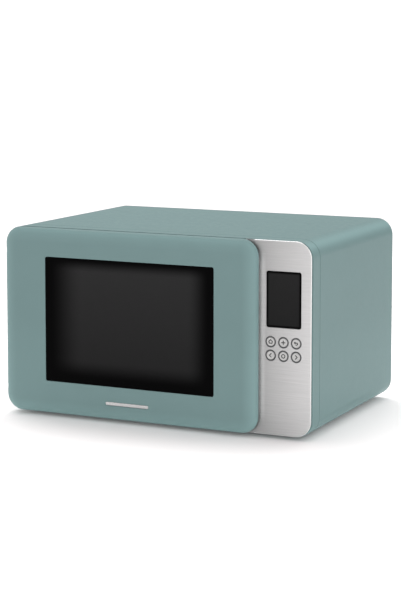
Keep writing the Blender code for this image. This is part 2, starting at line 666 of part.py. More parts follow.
def latch_spring():
    """A coil between the slider and the lug above it."""
    turns, per_turn = 5, 7
    low, high = LATCH_Z[1] + GAP + SPRING_WIRE_R, SPRING_LUG_Z[0] - GAP - SPRING_WIRE_R
    curve = bpy.data.curves.new("spring", "CURVE")
    curve.dimensions = "3D"
    curve.bevel_depth = SPRING_WIRE_R * MM
    curve.bevel_resolution = 0
    curve.use_fill_caps = True
    spline = curve.splines.new("POLY")
    count = turns * per_turn + 1
    spline.points.add(count - 1)
    for i, point in enumerate(spline.points):
        angle = 2 * pi * i / per_turn
        x = SPRING_X + SPRING_COIL_R * cos(angle)
        y = SPRING_Y + SPRING_COIL_R * sin(angle)
        z = low + (high - low) * i / (count - 1)
        point.co = (x * MM, y * MM, z * MM, 1)
    wire = bpy.data.objects.new("spring", curve)
    SHAPES.objects.link(wire)
    graph = bpy.context.evaluated_depsgraph_get()
    bm = bmesh.new()
    bm.from_mesh(bpy.data.meshes.new_from_object(wire.evaluated_get(graph)))
    bpy.data.objects.remove(wire, do_unlink=True)
    bmesh.ops.remove_doubles(bm, verts=bm.verts, dist=0.000001)
    bmesh.ops.recalc_face_normals(bm, faces=bm.faces)
    part("latch_spring", to_object(bm), "spring_steel", (SPRING_X, SPRING_Y, SPRING_LUG_Z[0]))


def latch_board():
    """The board behind the front plate: two ledges for the hooks and two microswitches."""
    board_x, front = LATCH_BOARD_X, PLATE_REAR + 0.4
    board = box(board_x, (front, front + 36), (HOOK_BOTTOMS[0] - 14, HOOK_BOTTOMS[1] + 18))
    ledges = [box((HOOK_X[0] - 2, board_x[0] + 0.5), (front + 1.5, HOOK_REAR - 2.5),
                  (low - HOOK_NOSE - 4.0, low - HOOK_NOSE - 0.8)) for low in HOOK_BOTTOMS]
    tabs = [box((board_x[0] + 0.5, board_x[1] + 5), (front, front + 2), z)
            for z in ((HOOK_BOTTOMS[0] - 14, HOOK_BOTTOMS[0] - 4), (HOOK_BOTTOMS[1] + 8, HOOK_BOTTOMS[1] + 18))]
    part("latch_board", join(board, *ledges, *tabs), "white_plastic")
    switch_front = HOOK_REAR + 2.2
    for name, low in zip(("door_switch_lower", "door_switch_upper"), HOOK_BOTTOMS):
        case = box((board_x[0] - 10.5, board_x[0] - GAP), (switch_front, switch_front + 20),
                   (low - 5, low + 12))
        plunger = box((board_x[0] - 7, board_x[0] - 4), (switch_front - 1.2, switch_front + 0.5),
                      (low + 1, low + 5))
        part(name, join(case, plunger), "black_plastic")


# ---------------------------------------------------------------- control panel


def key_places():
    return [(x, z) for z in KEY_ZS for x in KEY_XS]


def control_fascia():
    """The brushed steel panel; two tabs at its left corners fill the room beside the door's round corners."""
    through = (FASCIA_FRONT - 5, FASCIA_FRONT + 5)
    sheet = rounded_box(FASCIA_X, (FASCIA_FRONT, FASCIA_FRONT + FASCIA_THICK), FASCIA_Z, FASCIA_R,
                        segments=8, where=on_the_right)
    tabs = [box((TAB_LEFT, FASCIA_X[0] + 1.0), (FASCIA_FRONT, FASCIA_FRONT + FASCIA_THICK), z)
            for z in ((FASCIA_Z[0], FASCIA_Z[0] + TAB_HEIGHT), (FASCIA_Z[1] - TAB_HEIGHT, FASCIA_Z[1]))]
    display = rounded_box(DISPLAY_X, through, DISPLAY_Z, DISPLAY_R, segments=3)
    keys = together([rod("Y", place, through, KEY_RING[1] + GAP, KEY_SIDES) for place in key_places()])
    part("control_fascia", cut(join(sheet, *tabs), display, keys), "brushed_steel")


def fascia_carrier():
    """The moulding behind the fascia: a tray with a rim, and six tubes that ring the keys."""
    rim_rear, wall, room = PLATE_FRONT - 2.0, 2.0, 0.4
    x, z = (BAY_X[0] + room, BAY_X[1] - room), (BAY_Z[0] + room, BAY_Z[1] - room)
    tray = rounded_box(x, (CARRIER_Y[0], rim_rear), z, BAY_R - room, segments=4, where=on_the_right)
    hollow = rounded_box((x[0] + wall, x[1] - wall), (CARRIER_Y[1], rim_rear + 5), (z[0] + wall, z[1] - wall),
                         BAY_R - room - wall, segments=4, where=on_the_right)
    window = rounded_box((DISPLAY_X[0] + 2, DISPLAY_X[1] - 2), (CARRIER_Y[0] - 2, CARRIER_Y[1] + 2),
                         (DISPLAY_Z[0] + 2, DISPLAY_Z[1] - 2), 2.0, segments=1)
    tubes = [rod("Y", place, (FASCIA_FRONT, TUBE_REAR), KEY_RING[1], KEY_SIDES) for place in key_places()]
    holes = together([rod("Y", place, (FASCIA_FRONT - 3, TUBE_REAR + 4), KEY_RING[0], KEY_SIDES)
                      for place in key_places()])
    part("fascia_carrier", cut(join(cut(tray, hollow), *tubes), window, holes), "grey_plastic")


def display_window():
    pane = rounded_box((DISPLAY_X[0] + GAP, DISPLAY_X[1] - GAP), (FASCIA_FRONT + 0.1, CARRIER_Y[0] - GAP),
                       (DISPLAY_Z[0] + GAP, DISPLAY_Z[1] - GAP), DISPLAY_R - GAP, segments=3)
    part("display_window", pane, "black_glass")


def keys():
    """Six round keys; each has a cap, a retaining flange behind its tube and a stem to its switch."""
    back = TUBE_REAR + GAP
    stem_end = BOARD_Y[0] - KEY_TRAVEL - GAP
    names = [f"key_{row}_{column}" for row in ("upper", "lower") for column in ("left", "middle", "right")]
    for name, (x, z) in zip(names, key_places()):
        profile = [(0, stem_end), (KEY_STEM_R, stem_end), (KEY_STEM_R, back + 1.2), (KEY_FLANGE_R, back + 1.2),
                   (KEY_FLANGE_R, back), (KEY_R, back), (KEY_R, FASCIA_FRONT), (0, FASCIA_FRONT)]
        part(name, turned("Y", (x, z), profile, KEY_SIDES), "brushed_steel", (x, FASCIA_FRONT, z))


def control_board():
    """The control circuit board with the display module, key switches, relay and buzzer on it."""
    board = box((161, 227), BOARD_Y, (60, 250))
    display = box((DISPLAY_X[0] + 3, DISPLAY_X[1] - 3), (CARRIER_Y[1] + GAP, BOARD_Y[0] + 0.5),
                  (DISPLAY_Z[0] + 3, DISPLAY_Z[1] - 3))
    relay = box((168, 188), (BOARD_Y[1] - 0.5, BOARD_Y[1] + 14), (150, 178))
    buzzer = rod("Y", (208, 90), (BOARD_Y[1] - 0.5, BOARD_Y[1] + 8), 8, 16)
    part("control_board", join(board, display, relay, buzzer), "circuit_board")


# ---------------------------------------------------------------- turntable


def around(radius, angle):
    """A point round the turntable's centre."""
    return (TABLE_X + radius * cos(angle), TABLE_Y + radius * sin(angle))


def radial_box(r, width, z, angle):
    shape = box((TABLE_X + r[0], TABLE_X + r[1]), (TABLE_Y - width / 2, TABLE_Y + width / 2), z)
    return turned_about(shape, angle, TABLE)


def thirds(start):
    return [start + 2 * pi * i / 3 for i in range(3)]


def turntable_motor():
    """The flat synchronous motor under the cavity floor, with its two ears and its shaft."""
    case = rod("Z", TABLE, (10.0, 28.0), 24.5, 28)
    ears = box((TABLE_X - 35, TABLE_X + 35), (TABLE_Y - 5, TABLE_Y + 5), (26.4, 28.0))
    shaft = rod("Z", TABLE, (27.5, 36.0), 3.0, 12)
    part("turntable_motor", join(case, ears, shaft), "zinc_steel")


def drive_coupler():
    """The three-lobed hub on the motor's shaft."""
    hub = rod("Z", TABLE, (28.6, 38.5), 7.6, 20)
    lobes = [radial_box((0, 15.0), 5.0, (33.2, 38.3), angle) for angle in thirds(0)]
    bore = rod("Z", TABLE, (25, 36.6), 3.4, 12)
    part("drive_coupler", cut(join(hub, *lobes), bore), "white_plastic", (*TABLE, 33))


def glass_turntable():
    """The glass plate: a raised rim, a flat underside for the rollers and three lugs for the hub."""
    low, thick = PLATE_BOTTOM, 5.0
    profile = [(0, low + thick), (PLATE_R - 12, low + thick), (PLATE_R - 7, low + 10.5),
               (PLATE_R - 2, low + 12.5), (PLATE_R, low + 11.0), (PLATE_R - 3.5, low + 5.0), (PLATE_R - 9.5, low), (0, low)]
    plate = turned("Z", TABLE, profile, 44)
    lugs = [rod("Z", around(12.0, angle), (35.5, low + 1), 2.7, 12) for angle in thirds(pi / 3)]
    part("glass_turntable", join(plate, *lugs), "clear_glass", (*TABLE, low))


def roller_ring():
    """The ring under the plate: a hub, three spokes and three axle stubs with end caps."""
    inner, outer, low, high = 86.0, 94.0, ROLLER_Z - 3.0, ROLLER_Z + 3.0
    ring = turned("Z", TABLE, [(outer, high), (outer, low), (inner, low), (inner, high)], 32, ring=True)
    hub = turned("Z", TABLE, [(21.0, low + 3.0), (21.0, low), (17.0, low), (17.0, low + 3.0)], 16, ring=True)
    spokes = [radial_box((20.0, inner + 1), 7.0, (low + 0.3, low + 2.7), angle) for angle in thirds(pi / 6)]
    cap = ROLLER_TRACK_R + ROLLER_WIDTH / 2 + 0.5
    stubs = []
    for angle in thirds(pi / 2):
        for span, radius in (((outer - 1, cap + 1), AXLE_R), ((cap, cap + 1.6), AXLE_R + 1.4)):
            stub = rod("X", (TABLE_Y, ROLLER_Z), (TABLE_X + span[0], TABLE_X + span[1]), radius, 10)
            stubs.append(turned_about(stub, angle, TABLE))
    part("roller_ring", join(ring, hub, *spokes, *stubs), "white_plastic", (*TABLE, ROLLER_Z))


def rollers():
    half = ROLLER_WIDTH / 2
    for i, angle in enumerate(thirds(pi / 2)):
        wheel = rod("X", (TABLE_Y, ROLLER_Z),
                    (TABLE_X + ROLLER_TRACK_R - half, TABLE_X + ROLLER_TRACK_R + half), ROLLER_R, 20)
        bore = rod("X", (TABLE_Y, ROLLER_Z), (TABLE_X + ROLLER_TRACK_R - 9, TABLE_X + ROLLER_TRACK_R + 9),
                   AXLE_R + 0.3, 12)
        wheel = turned_about(cut(wheel, bore), angle, TABLE)
        part(f"roller_{i + 1}", wheel, "white_plastic", (*around(ROLLER_TRACK_R, angle), ROLLER_Z))


# ---------------------------------------------------------------- power and air


def waveguide():
    """The short duct from the magnetron to the cavity, and the mica cover on the oven side."""
    wall = 1.2
    duct = box(DUCT_X, DUCT_Y, DUCT_Z)
    hollow = box((DUCT_X[0] - 3, DUCT_X[1] - wall), (DUCT_Y[0] + wall, DUCT_Y[1] - wall),
                 (DUCT_Z[0] + wall, DUCT_Z[1] - wall))
    antenna_hole = rod("X", (TUBE_Y, TUBE_Z), (DUCT_X[1] - 4, DUCT_X[1] + 4), 12.0, 20)
    part("waveguide", cut(duct, hollow, antenna_hole), "zinc_steel")
    cover = rounded_box((CAVITY_X[1] - 1.6, CAVITY_X[1] - 0.4), (DUCT_Y[0] - 3, DUCT_Y[1] + 3),
                        (DUCT_Z[0] - 1, DUCT_Z[1] + 1), 4.0, "X", 2)
    part("waveguide_cover", cover, "mica")


def magnetron():
    """A yoke open along Y, an anode with cooling fins, the antenna, and the filter box behind."""
    x, y, z = (DUCT_X[1] + GAP, 213.0), (TUBE_Y - 42, TUBE_Y + 42), (TUBE_Z - 40, TUBE_Z + 40)
    yoke = cut(box(x, y, z), box((x[0] + 2, x[1] - 2), (y[0] - 3, y[1] + 3), (z[0] + 2, z[1] - 2)))
    anode = rod("X", (TUBE_Y, TUBE_Z), (x[0] + 1, x[1] - 1), 19.0, 16)
    antenna = rod("X", (TUBE_Y, TUBE_Z), (DUCT_X[0] + 10, x[0] + 1), 8.0, 16)
    fins = [box((x[0] + 10 + 9.0 * i, x[0] + 11 + 9.0 * i), (y[0] + 3, y[1] - 3), (z[0] + 4, z[1] - 4))
            for i in range(5)]
    part("magnetron_body", join(yoke, anode, antenna, *fins), "zinc_steel")
    filter_box = rounded_box((x[1] + GAP, RIGHT - 3), (TUBE_Y - 30, TUBE_Y + 30), (TUBE_Z - 28, TUBE_Z + 28),
                             3.0, "X", 2)
    terminals = [box((226, 232), (TUBE_Y - 37, TUBE_Y - 29), (TUBE_Z + dz - 3, TUBE_Z + dz + 3))
                 for dz in (-9, 9)]
    part("magnetron_filter_box", join(filter_box, *terminals), "zinc_steel")


def transformer():
    """The high-voltage transformer: a laminated core with two windows and a winding on its limb."""
    x, y, z = (151.0, 215.0), (-108.0, -18.0), (BOTTOM + SHEET + GAP, 81.3)
    mid, limb, window = (z[0] + z[1]) / 2, 11.0, 15.0
    core = box(x, y, z)
    windows = [box((x[0] - 3, x[1] + 3), (y[0] + 13, y[1] - 13), (low, low + window))
               for low in (mid - limb - window, mid + limb)]
    part("transformer_core", cut(core, *windows), "zinc_steel")
    for name, span, material in (("transformer_primary", (-93.5, -65.0), "copper_wire"),
                                 ("transformer_secondary", (-61.0, -32.5), "copper_wire")):
        coil = rounded_box((x[0] - 12, x[1] + 12), span, (mid - limb - window + 1, mid + limb + window - 1),
                           8.0, "Y", 3)
        hole = box((x[0] - 0.5, x[1] + 0.5), (span[0] - 3, span[1] + 3), (mid - limb - 0.5, mid + limb + 0.5))
        part(name, cut(coil, hole), material)


def capacitor():
    """The oval high-voltage capacitor and the band that stands it on the base plate."""
    x, y, z = (163.0, 216.0), (4.0, 38.0), (BOTTOM + SHEET + 2.0, 98.0)
    can = rounded_box(x, y, z, 16.5, "Z", 5)
    terminals = [box((cx - 3, cx + 3), (20, 21.2), (z[1] - 1, z[1] + 9)) for cx in (180, 199)]
    part("capacitor", join(can, *terminals), "zinc_steel")
    band_z, reach = (58.0, 74.0), 1.6
    band = rounded_box((x[0] - reach, x[1] + reach), (y[0] - reach, y[1] + reach), band_z, 16.5 + reach, "Z", 5)
    leg = box((x[0] - reach, x[0] - reach + 1.2), (14, 28), (BOTTOM + SHEET + GAP, band_z[1]))
    foot = box((x[0] - 14, x[0] - reach + 1.2), (14, 28), (BOTTOM + SHEET + GAP, BOTTOM + SHEET + GAP + 1.2))
    room = rounded_box((x[0] - GAP, x[1] + GAP), (y[0] - GAP, y[1] + GAP), (band_z[0] - 3, band_z[1] + 3),
                       16.5 + GAP, "Z", 5)
    part("capacitor_clamp", cut(join(band, leg, foot), room), "zinc_steel")


def cooling_fan():
    """The rear fan: a shroud plate with a short duct, a motor on a cross strap and five blades."""
    centre = (FAN_X, FAN_Z)
    duct_y, plate_y = (104.0, REAR_PANEL_Y[0] - 1.0), (112.0, 114.0)
    plate = box((FAN_X - 47, FAN_X + 47), plate_y, (FAN_Z - 47, FAN_Z + 47))
    duct = rod("Y", centre, duct_y, 43.0, 24)
    bore = rod("Y", centre, (duct_y[0] - 5, duct_y[1] + 5), 41.0, 24)
    part("fan_shroud", cut(join(plate, duct), bore), "black_plastic")
    stator = box((FAN_X - 21, FAN_X + 21), (74, 99), (FAN_Z - 18, FAN_Z + 22))
    strap = box((FAN_X - 44, FAN_X + 44), (98, 100), (FAN_Z - 5, FAN_Z + 5))
    shaft = rod("Y", centre, (98, 136), 2.0, 12)
    part("fan_motor", join(stator, strap, shaft), "zinc_steel")
    hub_y, blade_y = (119, 139), 129.0
    hub = cut(rod("Y", centre, hub_y, 11.0, 20), rod("Y", centre, (hub_y[0] - 4, hub_y[1] - 2), 2.4, 12))
    blades = []
    for i in range(FAN_BLADES):
        blade = box((-5.0, 38.0), (-0.7, 0.7), (-7.5, 7.5))
        blade = cut(blade, box((-6.0, 6.0), (-3, 3), (-9, 9)))
        pitch = Matrix.Rotation(radians(50), 4, "X")
        round_y = Matrix.Rotation(2 * pi * i / FAN_BLADES, 4, "Y")
        place = Matrix.Translation(Vector((FAN_X, blade_y, FAN_Z)) * MM)
        blade.data.transform(place @ round_y @ pitch)
        blades.append(blade)
    part("fan_blade", join(hub, *blades), "grey_plastic", (FAN_X, blade_y, FAN_Z))


def cavity_lamp():
    """The oven lamp beside the cavity's right wall, hanging from its holder."""
    x, y, top = CAVITY_X[1] + 14.0, LAMP_Y, LAMP_Z + 18.0
    profile = [(0, top + 10), (5.0, top + 10), (5.0, top - 2), (8.5, top - 12), (9.0, top - 20),
               (6.5, top - 28), (0, top - 31)]
    part("cavity_lamp", turned("Z", (x, y), profile, 16), "clear_glass")
    holder = box((x - 9, x + 10), (y - 9, y + 9), (top, top + 20))
    bracket = box((CAVITY_X[1] + CAVITY_WALL + GAP, x - 8), (y - 6, y + 6), (top + 14, top + 16))
    room = rod("Z", (x, y), (top - 3, top + 10.5), 5.4, 16)
    part("lamp_socket", cut(join(holder, bracket), room), "white_plastic")


def filter_board():
    """The mains filter board, on standoffs beside the cavity."""
    wall = CAVITY_X[1] + CAVITY_WALL + GAP
    x, y, z = (wall + 6.0, wall + 7.6), (62.0, 134.0), (36.0, 96.0)
    board = box(x, y, z)
    standoffs = [rod("X", (cy, cz), (wall, x[0] + 0.8), 2.5, 10) for cy in (68, 128) for cz in (42, 90)]
    choke = rod("X", (84, 66), (x[1] - 0.5, x[1] + 14), 10.0, 16)
    fuse = box((x[1] - 0.5, x[1] + 8), (104, 126), (48, 55))
    relay = box((x[1] - 0.5, x[1] + 15), (104, 124), (64, 82))
    part("filter_board", join(board, *standoffs, choke, fuse, relay), "circuit_board")


def cord_gland():
    """The bush in the rear panel that the supply cord would pass through."""
    inner, outer = REAR_PANEL_Y[0] - 6.0, REAR_PANEL_Y[1] + GAP
    profile = [(6.0, outer + 12), (9.0, outer + 3), (12.0, outer + 3), (12.0, outer), (7.9, outer),
               (7.9, inner), (4.0, inner), (4.0, outer + 12)]
    part("cord_gland", turned("Y", (GLAND_X, GLAND_Z), profile, 20, ring=True), "rubber")


# ---------------------------------------------------------------- build

for build in (casing, base_plate, rear_panel, rear_screws, feet, front_frame, front_plate, cavity_liner,
              hinge_brackets, hinge_pins, door_shell, door_badge, door_glass, door_inner_frame, door_shield,
              door_inner_film, latch_hook, latch_spring, latch_board, control_fascia, fascia_carrier,
              display_window, keys, control_board, turntable_motor, drive_coupler, glass_turntable,
              roller_ring, rollers, waveguide, magnetron, transformer, capacitor, cooling_fan, cavity_lamp,
              filter_board, cord_gland):
    build()

bpy.data.collections.remove(SHAPES)
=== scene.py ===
"""Looks for the countertop microwave oven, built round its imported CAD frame. Blender 4.5.

Sizes are in millimetres unless a name says otherwise; the objects are in metres, in the row frame:
+X the user's right, +Y from the door to the rear pan, +Z up, the origin on the table.
"""

import json
from math import cos, pi, radians, sin

import bmesh
import bpy
from mathutils import Matrix, Vector


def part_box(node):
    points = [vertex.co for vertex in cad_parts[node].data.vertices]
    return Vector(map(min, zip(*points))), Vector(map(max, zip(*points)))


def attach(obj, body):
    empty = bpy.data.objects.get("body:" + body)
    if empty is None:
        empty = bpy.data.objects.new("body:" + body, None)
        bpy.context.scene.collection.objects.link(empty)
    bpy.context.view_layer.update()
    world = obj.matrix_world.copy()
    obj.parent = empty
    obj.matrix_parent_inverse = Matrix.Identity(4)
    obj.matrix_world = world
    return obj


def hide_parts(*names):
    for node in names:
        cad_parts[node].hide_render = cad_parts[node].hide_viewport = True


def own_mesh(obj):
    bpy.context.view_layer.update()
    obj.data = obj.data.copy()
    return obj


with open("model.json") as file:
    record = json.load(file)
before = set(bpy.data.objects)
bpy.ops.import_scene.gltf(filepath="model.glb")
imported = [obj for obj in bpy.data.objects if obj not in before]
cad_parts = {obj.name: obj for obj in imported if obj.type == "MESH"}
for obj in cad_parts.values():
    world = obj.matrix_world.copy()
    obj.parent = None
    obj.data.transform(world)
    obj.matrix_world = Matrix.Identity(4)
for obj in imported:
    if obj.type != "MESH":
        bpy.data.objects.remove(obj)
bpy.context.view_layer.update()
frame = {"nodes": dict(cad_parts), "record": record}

MM = 0.001
RECORD = frame["record"]
BODY_OF = {node: body for body, nodes in RECORD["behaviour"]["bodies"].items() for node in nodes}
SLOT_OF = {row["node"]: row["material_slot"] for row in RECORD["subparts"]}
MIDDLE = sum(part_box("casing")[i][2] for i in (0, 1)) / 2 / MM

# -------- stage, light and camera

# The studio's brightness, as multiples of white: low and high in front, then low and high behind.
FRONT_LEVELS = (1.43, 0.48)
REAR_LEVELS = (0.28, 2.0)
SIDE_BOOST = 1.42
LEFT_BOOST = 1.3
BACKDROP_LEVEL = 1.4
FLOOR_HALF = 20.0
CAMERA_PLACE = (1.1228, -2.3877, 0.5702)
CAMERA_AZIMUTH, CAMERA_TILT = radians(25.427), radians(5.648)
LENS, SENSOR, SHIFT = 105.50, 36.0, -0.167


def make_world():
    """White to the camera; the light comes from above and behind, from both sides and low in front."""
    world = bpy.data.worlds.new("studio")
    world.use_nodes = True
    tree = world.node_tree

    def add(kind, links=(), **settings):
        node = tree.nodes.new(kind)
        for key, value in settings.items():
            setattr(node, key, value)
        for socket, value in links:
            if isinstance(value, bpy.types.NodeSocket):
                tree.links.new(value, node.inputs[socket])
            else:
                node.inputs[socket].default_value = value
        return node

    def ramp(value, low, high, to):
        return add("ShaderNodeMapRange", ((0, value), (1, low), (2, high), (3, to[0]), (4, to[1])),
                   interpolation_type="SMOOTHSTEP").outputs[0]

    toward = add("ShaderNodeSeparateXYZ", ((0, add("ShaderNodeTexCoord").outputs["Generated"]),)).outputs
    front = ramp(toward["Z"], 0.05, 0.6, FRONT_LEVELS)
    rear = ramp(toward["Z"], 0.3, 0.75, REAR_LEVELS)
    from_left = ramp(toward["X"], -0.7, 0.1, (LEFT_BOOST, 1.0))
    rear = add("ShaderNodeMath", ((0, rear), (1, from_left)), operation="MULTIPLY").outputs[0]
    level = ramp(toward["Y"], -0.2, 0.4, (front, rear))
    sideways = add("ShaderNodeMath", ((0, toward["X"]),), operation="ABSOLUTE").outputs[0]
    boost = ramp(sideways, 0.55, 0.95, (1.0, SIDE_BOOST))
    strength = add("ShaderNodeMath", ((0, level), (1, boost)), operation="MULTIPLY").outputs[0]
    to_camera = add("ShaderNodeLightPath").outputs["Is Camera Ray"]
    seen = add("ShaderNodeMix", (("Factor", to_camera), (2, strength), (3, BACKDROP_LEVEL)),
               data_type="FLOAT")
    background = tree.nodes["Background"]
    background.inputs["Color"].default_value = (1.0, 1.0, 1.0, 1.0)
    tree.links.new(seen.outputs[0], background.inputs["Strength"])
    bpy.context.scene.world = world


def make_floor():
    mesh = bpy.data.meshes.new("floor")
    corners = [(x * FLOOR_HALF, y * FLOOR_HALF, 0) for x, y in ((-1, -1), (1, -1), (1, 1), (-1, 1))]
    mesh.from_pydata(corners, [], [(0, 1, 2, 3)])
    floor = bpy.data.objects.new("floor", mesh)
    bpy.context.scene.collection.objects.link(floor)
    material = bpy.data.materials.new("floor")
    material.use_nodes = True
    shader = material.node_tree.nodes["Principled BSDF"]
    shader.inputs["Base Color"].default_value = (0.98, 0.95, 0.95, 1.0)
    shader.inputs["Emission Color"].default_value = (1.0, 1.0, 1.0, 1.0)
    shader.inputs["Emission Strength"].default_value = 0.05
    shader.inputs["Roughness"].default_value = 0.9
    shader.inputs["Specular IOR Level"].default_value = 0.0
    mesh.materials.append(material)


def make_light(name, place, aim, size, power):
    data = bpy.data.lights.new(name, "AREA")
    data.shape = "RECTANGLE"
    data.size, data.size_y = size
    data.energy = power
    light = bpy.data.objects.new(name, data)
    bpy.context.scene.collection.objects.link(light)
    light.location = place
    light.rotation_euler = (Vector(aim) - Vector(place)).to_track_quat("-Z", "Y").to_euler()


def make_camera():
    """At the oven's front right, a little above it."""
    azimuth, tilt = CAMERA_AZIMUTH, CAMERA_TILT
    forward = Vector((-sin(azimuth) * cos(tilt), cos(azimuth) * cos(tilt), -sin(tilt)))
    data = bpy.data.cameras.new("camera")
    data.lens = LENS
    data.sensor_width = SENSOR
    data.shift_y = SHIFT
    camera = bpy.data.objects.new("camera", data)
    bpy.context.scene.collection.objects.link(camera)
    camera.location = CAMERA_PLACE
    camera.rotation_euler = forward.to_track_quat("-Z", "Y").to_euler()
    bpy.context.scene.camera = camera


make_world()
make_floor()
make_light("overhead", (-0.5, 0.5, 2.3), (0.0, 0.0, 0.14), (2.0, 1.6), 27.0)
make_light("front_right", (1.9, -2.4, 0.9), (0.05, -0.1, 0.14), (1.2, 1.0), 14.5)
make_camera()
bpy.context.scene.view_settings.view_transform = "Standard"

# -------- materials

TEAL = (0.148, 0.2265, 0.2265)
# Shares of painted highlight on the rolled edges of the door and of the case.
DOOR_ROLL_HIGHLIGHT, CASE_ROLL_HIGHLIGHT = 0.24, 0.33
PRINT_BLACK = (0.0010, 0.0010, 0.0011)
BRUSHING, LAMINATIONS = (12.0, 12.0, 1500.0), (2.0, 1500.0, 2.0)
KEY_BRUSHING = (1.0, 4.0, BRUSHING, 0.65)
WINDING = (1.0, 1.0, (3.0, 1100.0, 3.0))


class Surface:
    """A Principled material and short ways to vary it with noise in object space."""

    def __init__(self, name, colour, roughness, metallic=0.0, **more):
        self.material = bpy.data.materials.new(name)
        self.material.use_nodes = True
        self.tree = self.material.node_tree
        self.shader = self.tree.nodes["Principled BSDF"]
        self.set("Base Color", (*colour, 1.0))
        self.set("Roughness", roughness)
        self.set("Metallic", metallic)
        for socket, value in more.items():
            self.set(socket.replace("_", " "), value)
        self.place = self.add("ShaderNodeTexCoord").outputs["Object"]
        self.colour = colour

    def set(self, socket, value):
        self.shader.inputs[socket].default_value = value

    def add(self, kind, links=None, values=None, **settings):
        node = self.tree.nodes.new(kind)
        for key, value in settings.items():
            setattr(node, key, value)
        for key, value in (values or {}).items():
            node.inputs[key].default_value = value
        for key, output in (links or {}).items():
            self.tree.links.new(output, node.inputs[key])
        return node

    def link(self, output, socket):
        self.tree.links.new(output, self.shader.inputs[socket])

    def noise(self, scale, detail=2.0, stretch=None, rough=0.5):
        """Noise with features about 1/scale metres across; stretch scales each axis."""
        where = self.place
        if stretch:
            where = self.add("ShaderNodeMapping", {"Vector": where}, {"Scale": stretch}).outputs["Vector"]
        return self.add("ShaderNodeTexNoise", {"Vector": where},
                        {"Scale": scale, "Detail": detail, "Roughness": rough}).outputs["Fac"]

    def cells(self, scale):
        """Random grey cells about 1/scale metres across."""
        return self.add("ShaderNodeTexVoronoi", {"Vector": self.place}, {"Scale": scale}).outputs["Color"]

    def parts(self, vector):
        return self.add("ShaderNodeSeparateXYZ", {"Vector": vector}).outputs

    def spread(self, factor, low, high, ends=(0.3, 0.7)):
        """Maps a factor between two ends onto the range low to high."""
        values = {"From Min": ends[0], "From Max": ends[1], "To Min": low, "To Max": high}
        return self.add("ShaderNodeMapRange", {"Value": factor}, values).outputs["Result"]

    def maths(self, operation, *terms):
        node = self.add("ShaderNodeMath", operation=operation)
        for socket, term in zip(node.inputs, terms):
            if isinstance(term, (int, float)):
                socket.default_value = term
            else:
                self.tree.links.new(term, socket)
        return node.outputs[0]

    def times(self, a, b):
        return self.maths("MULTIPLY", a, b)

    def plus(self, a, b):
        return self.maths("ADD", a, b)

    def minus(self, a, b):
        return self.maths("SUBTRACT", a, b)

    def tint(self, factor, low, high, ends=(0.3, 0.7)):
        """Base colour between two colours."""
        mix = self.add("ShaderNodeMix", {"Factor": self.spread(factor, 0.0, 1.0, ends)}, data_type="RGBA")
        return self.between(mix, low, high)

    def between(self, mix, low, high):
        """Sends a colour mix's result to the base colour."""
        mix.inputs["A"].default_value = (*low, 1.0)
        mix.inputs["B"].default_value = (*high, 1.0)
        output = next(o for o in mix.outputs if o.type == "RGBA")
        self.link(output, "Base Color")
        return output

    def shade(self, factor, amount, ends=(0.3, 0.7)):
        """Base colour a share darker and lighter than the surface's own."""
        low = tuple(c * (1 - amount) for c in self.colour)
        high = tuple(c * (1 + amount) for c in self.colour)
        return self.tint(factor, low, high, ends)

    def rough(self, factor, low, high, ends=(0.3, 0.7)):
        self.link(self.spread(factor, low, high, ends), "Roughness")

    def bump(self, height, strength, distance_mm):
        node = self.add("ShaderNodeBump", {"Height": height},
                        {"Strength": strength, "Distance": distance_mm * MM})
        self.link(node.outputs["Normal"], "Normal")


def varied(name, colour, roughness, metallic, shade, rough, bump=None, **more):
    """A material varied by noise; shade, rough and bump each hold a noise's arguments, then what it does."""
    s = Surface(name, colour, roughness, metallic, **more)
    s.shade(s.noise(*shade[0]), *shade[1:])
    s.rough(s.noise(*rough[0]), *rough[1:])
    if bump:
        s.bump(s.noise(*bump[0]), *bump[1:])
    return s.material


def satin_trim(name, grey):
    """Fine satin steel, for the bar on the door and the panel's chamfered edge."""
    return varied(name, (grey, grey, grey), 0.28, 1.0, ((60.0, 2.0), 0.03),
                  ((900.0, 3.0, (1.0, 1.0, 6.0)), 0.24, 0.34))


def plastic(name, colour, rough=(0.38, 0.5), grain=1300.0, strength=0.14):
    """Moulded plastic with a fine spark-eroded grain."""
    return varied(name, colour, sum(rough) / 2, 0.0, ((35.0, 3.0), 0.04), ((grain / 3, 3.0), *rough),
                  ((grain, 2.0), strength, 0.04))


def painted_door_roll_highlight(s, normal):
    """Painted highlight: how much the door's colour lightens as its edges roll away; more facing down, less
    on top.
    """
    y, z = normal["Y"], normal["Z"]
    tilt = s.maths("SQRT", s.maths("MAXIMUM", s.minus(1.0, s.times(y, y)), 0.0))
    away = s.spread(tilt, 0.0, DOOR_ROLL_HIGHLIGHT, (0.0, 0.6))
    # painted bounce light from the floor: down-facing edges are lightened more
    below = s.plus(1.0, s.maths("MAXIMUM", s.times(z, -1.0), 0.0))
    above = s.times(s.maths("MAXIMUM", s.minus(z, 0.5), 0.0), -0.6)
    return s.plus(s.times(away, below), above)


def painted_case_roll_highlight(s, normal):
    """Painted highlight: how much the case's colour lightens along the middle of its four rounded edges."""
    x, z = normal["X"], normal["Z"]
    both = s.times(s.times(x, x), s.times(z, z))
    at_45_degrees = 1 / 16
    return s.times(s.times(both, both), CASE_ROLL_HIGHLIGHT / at_45_degrees)


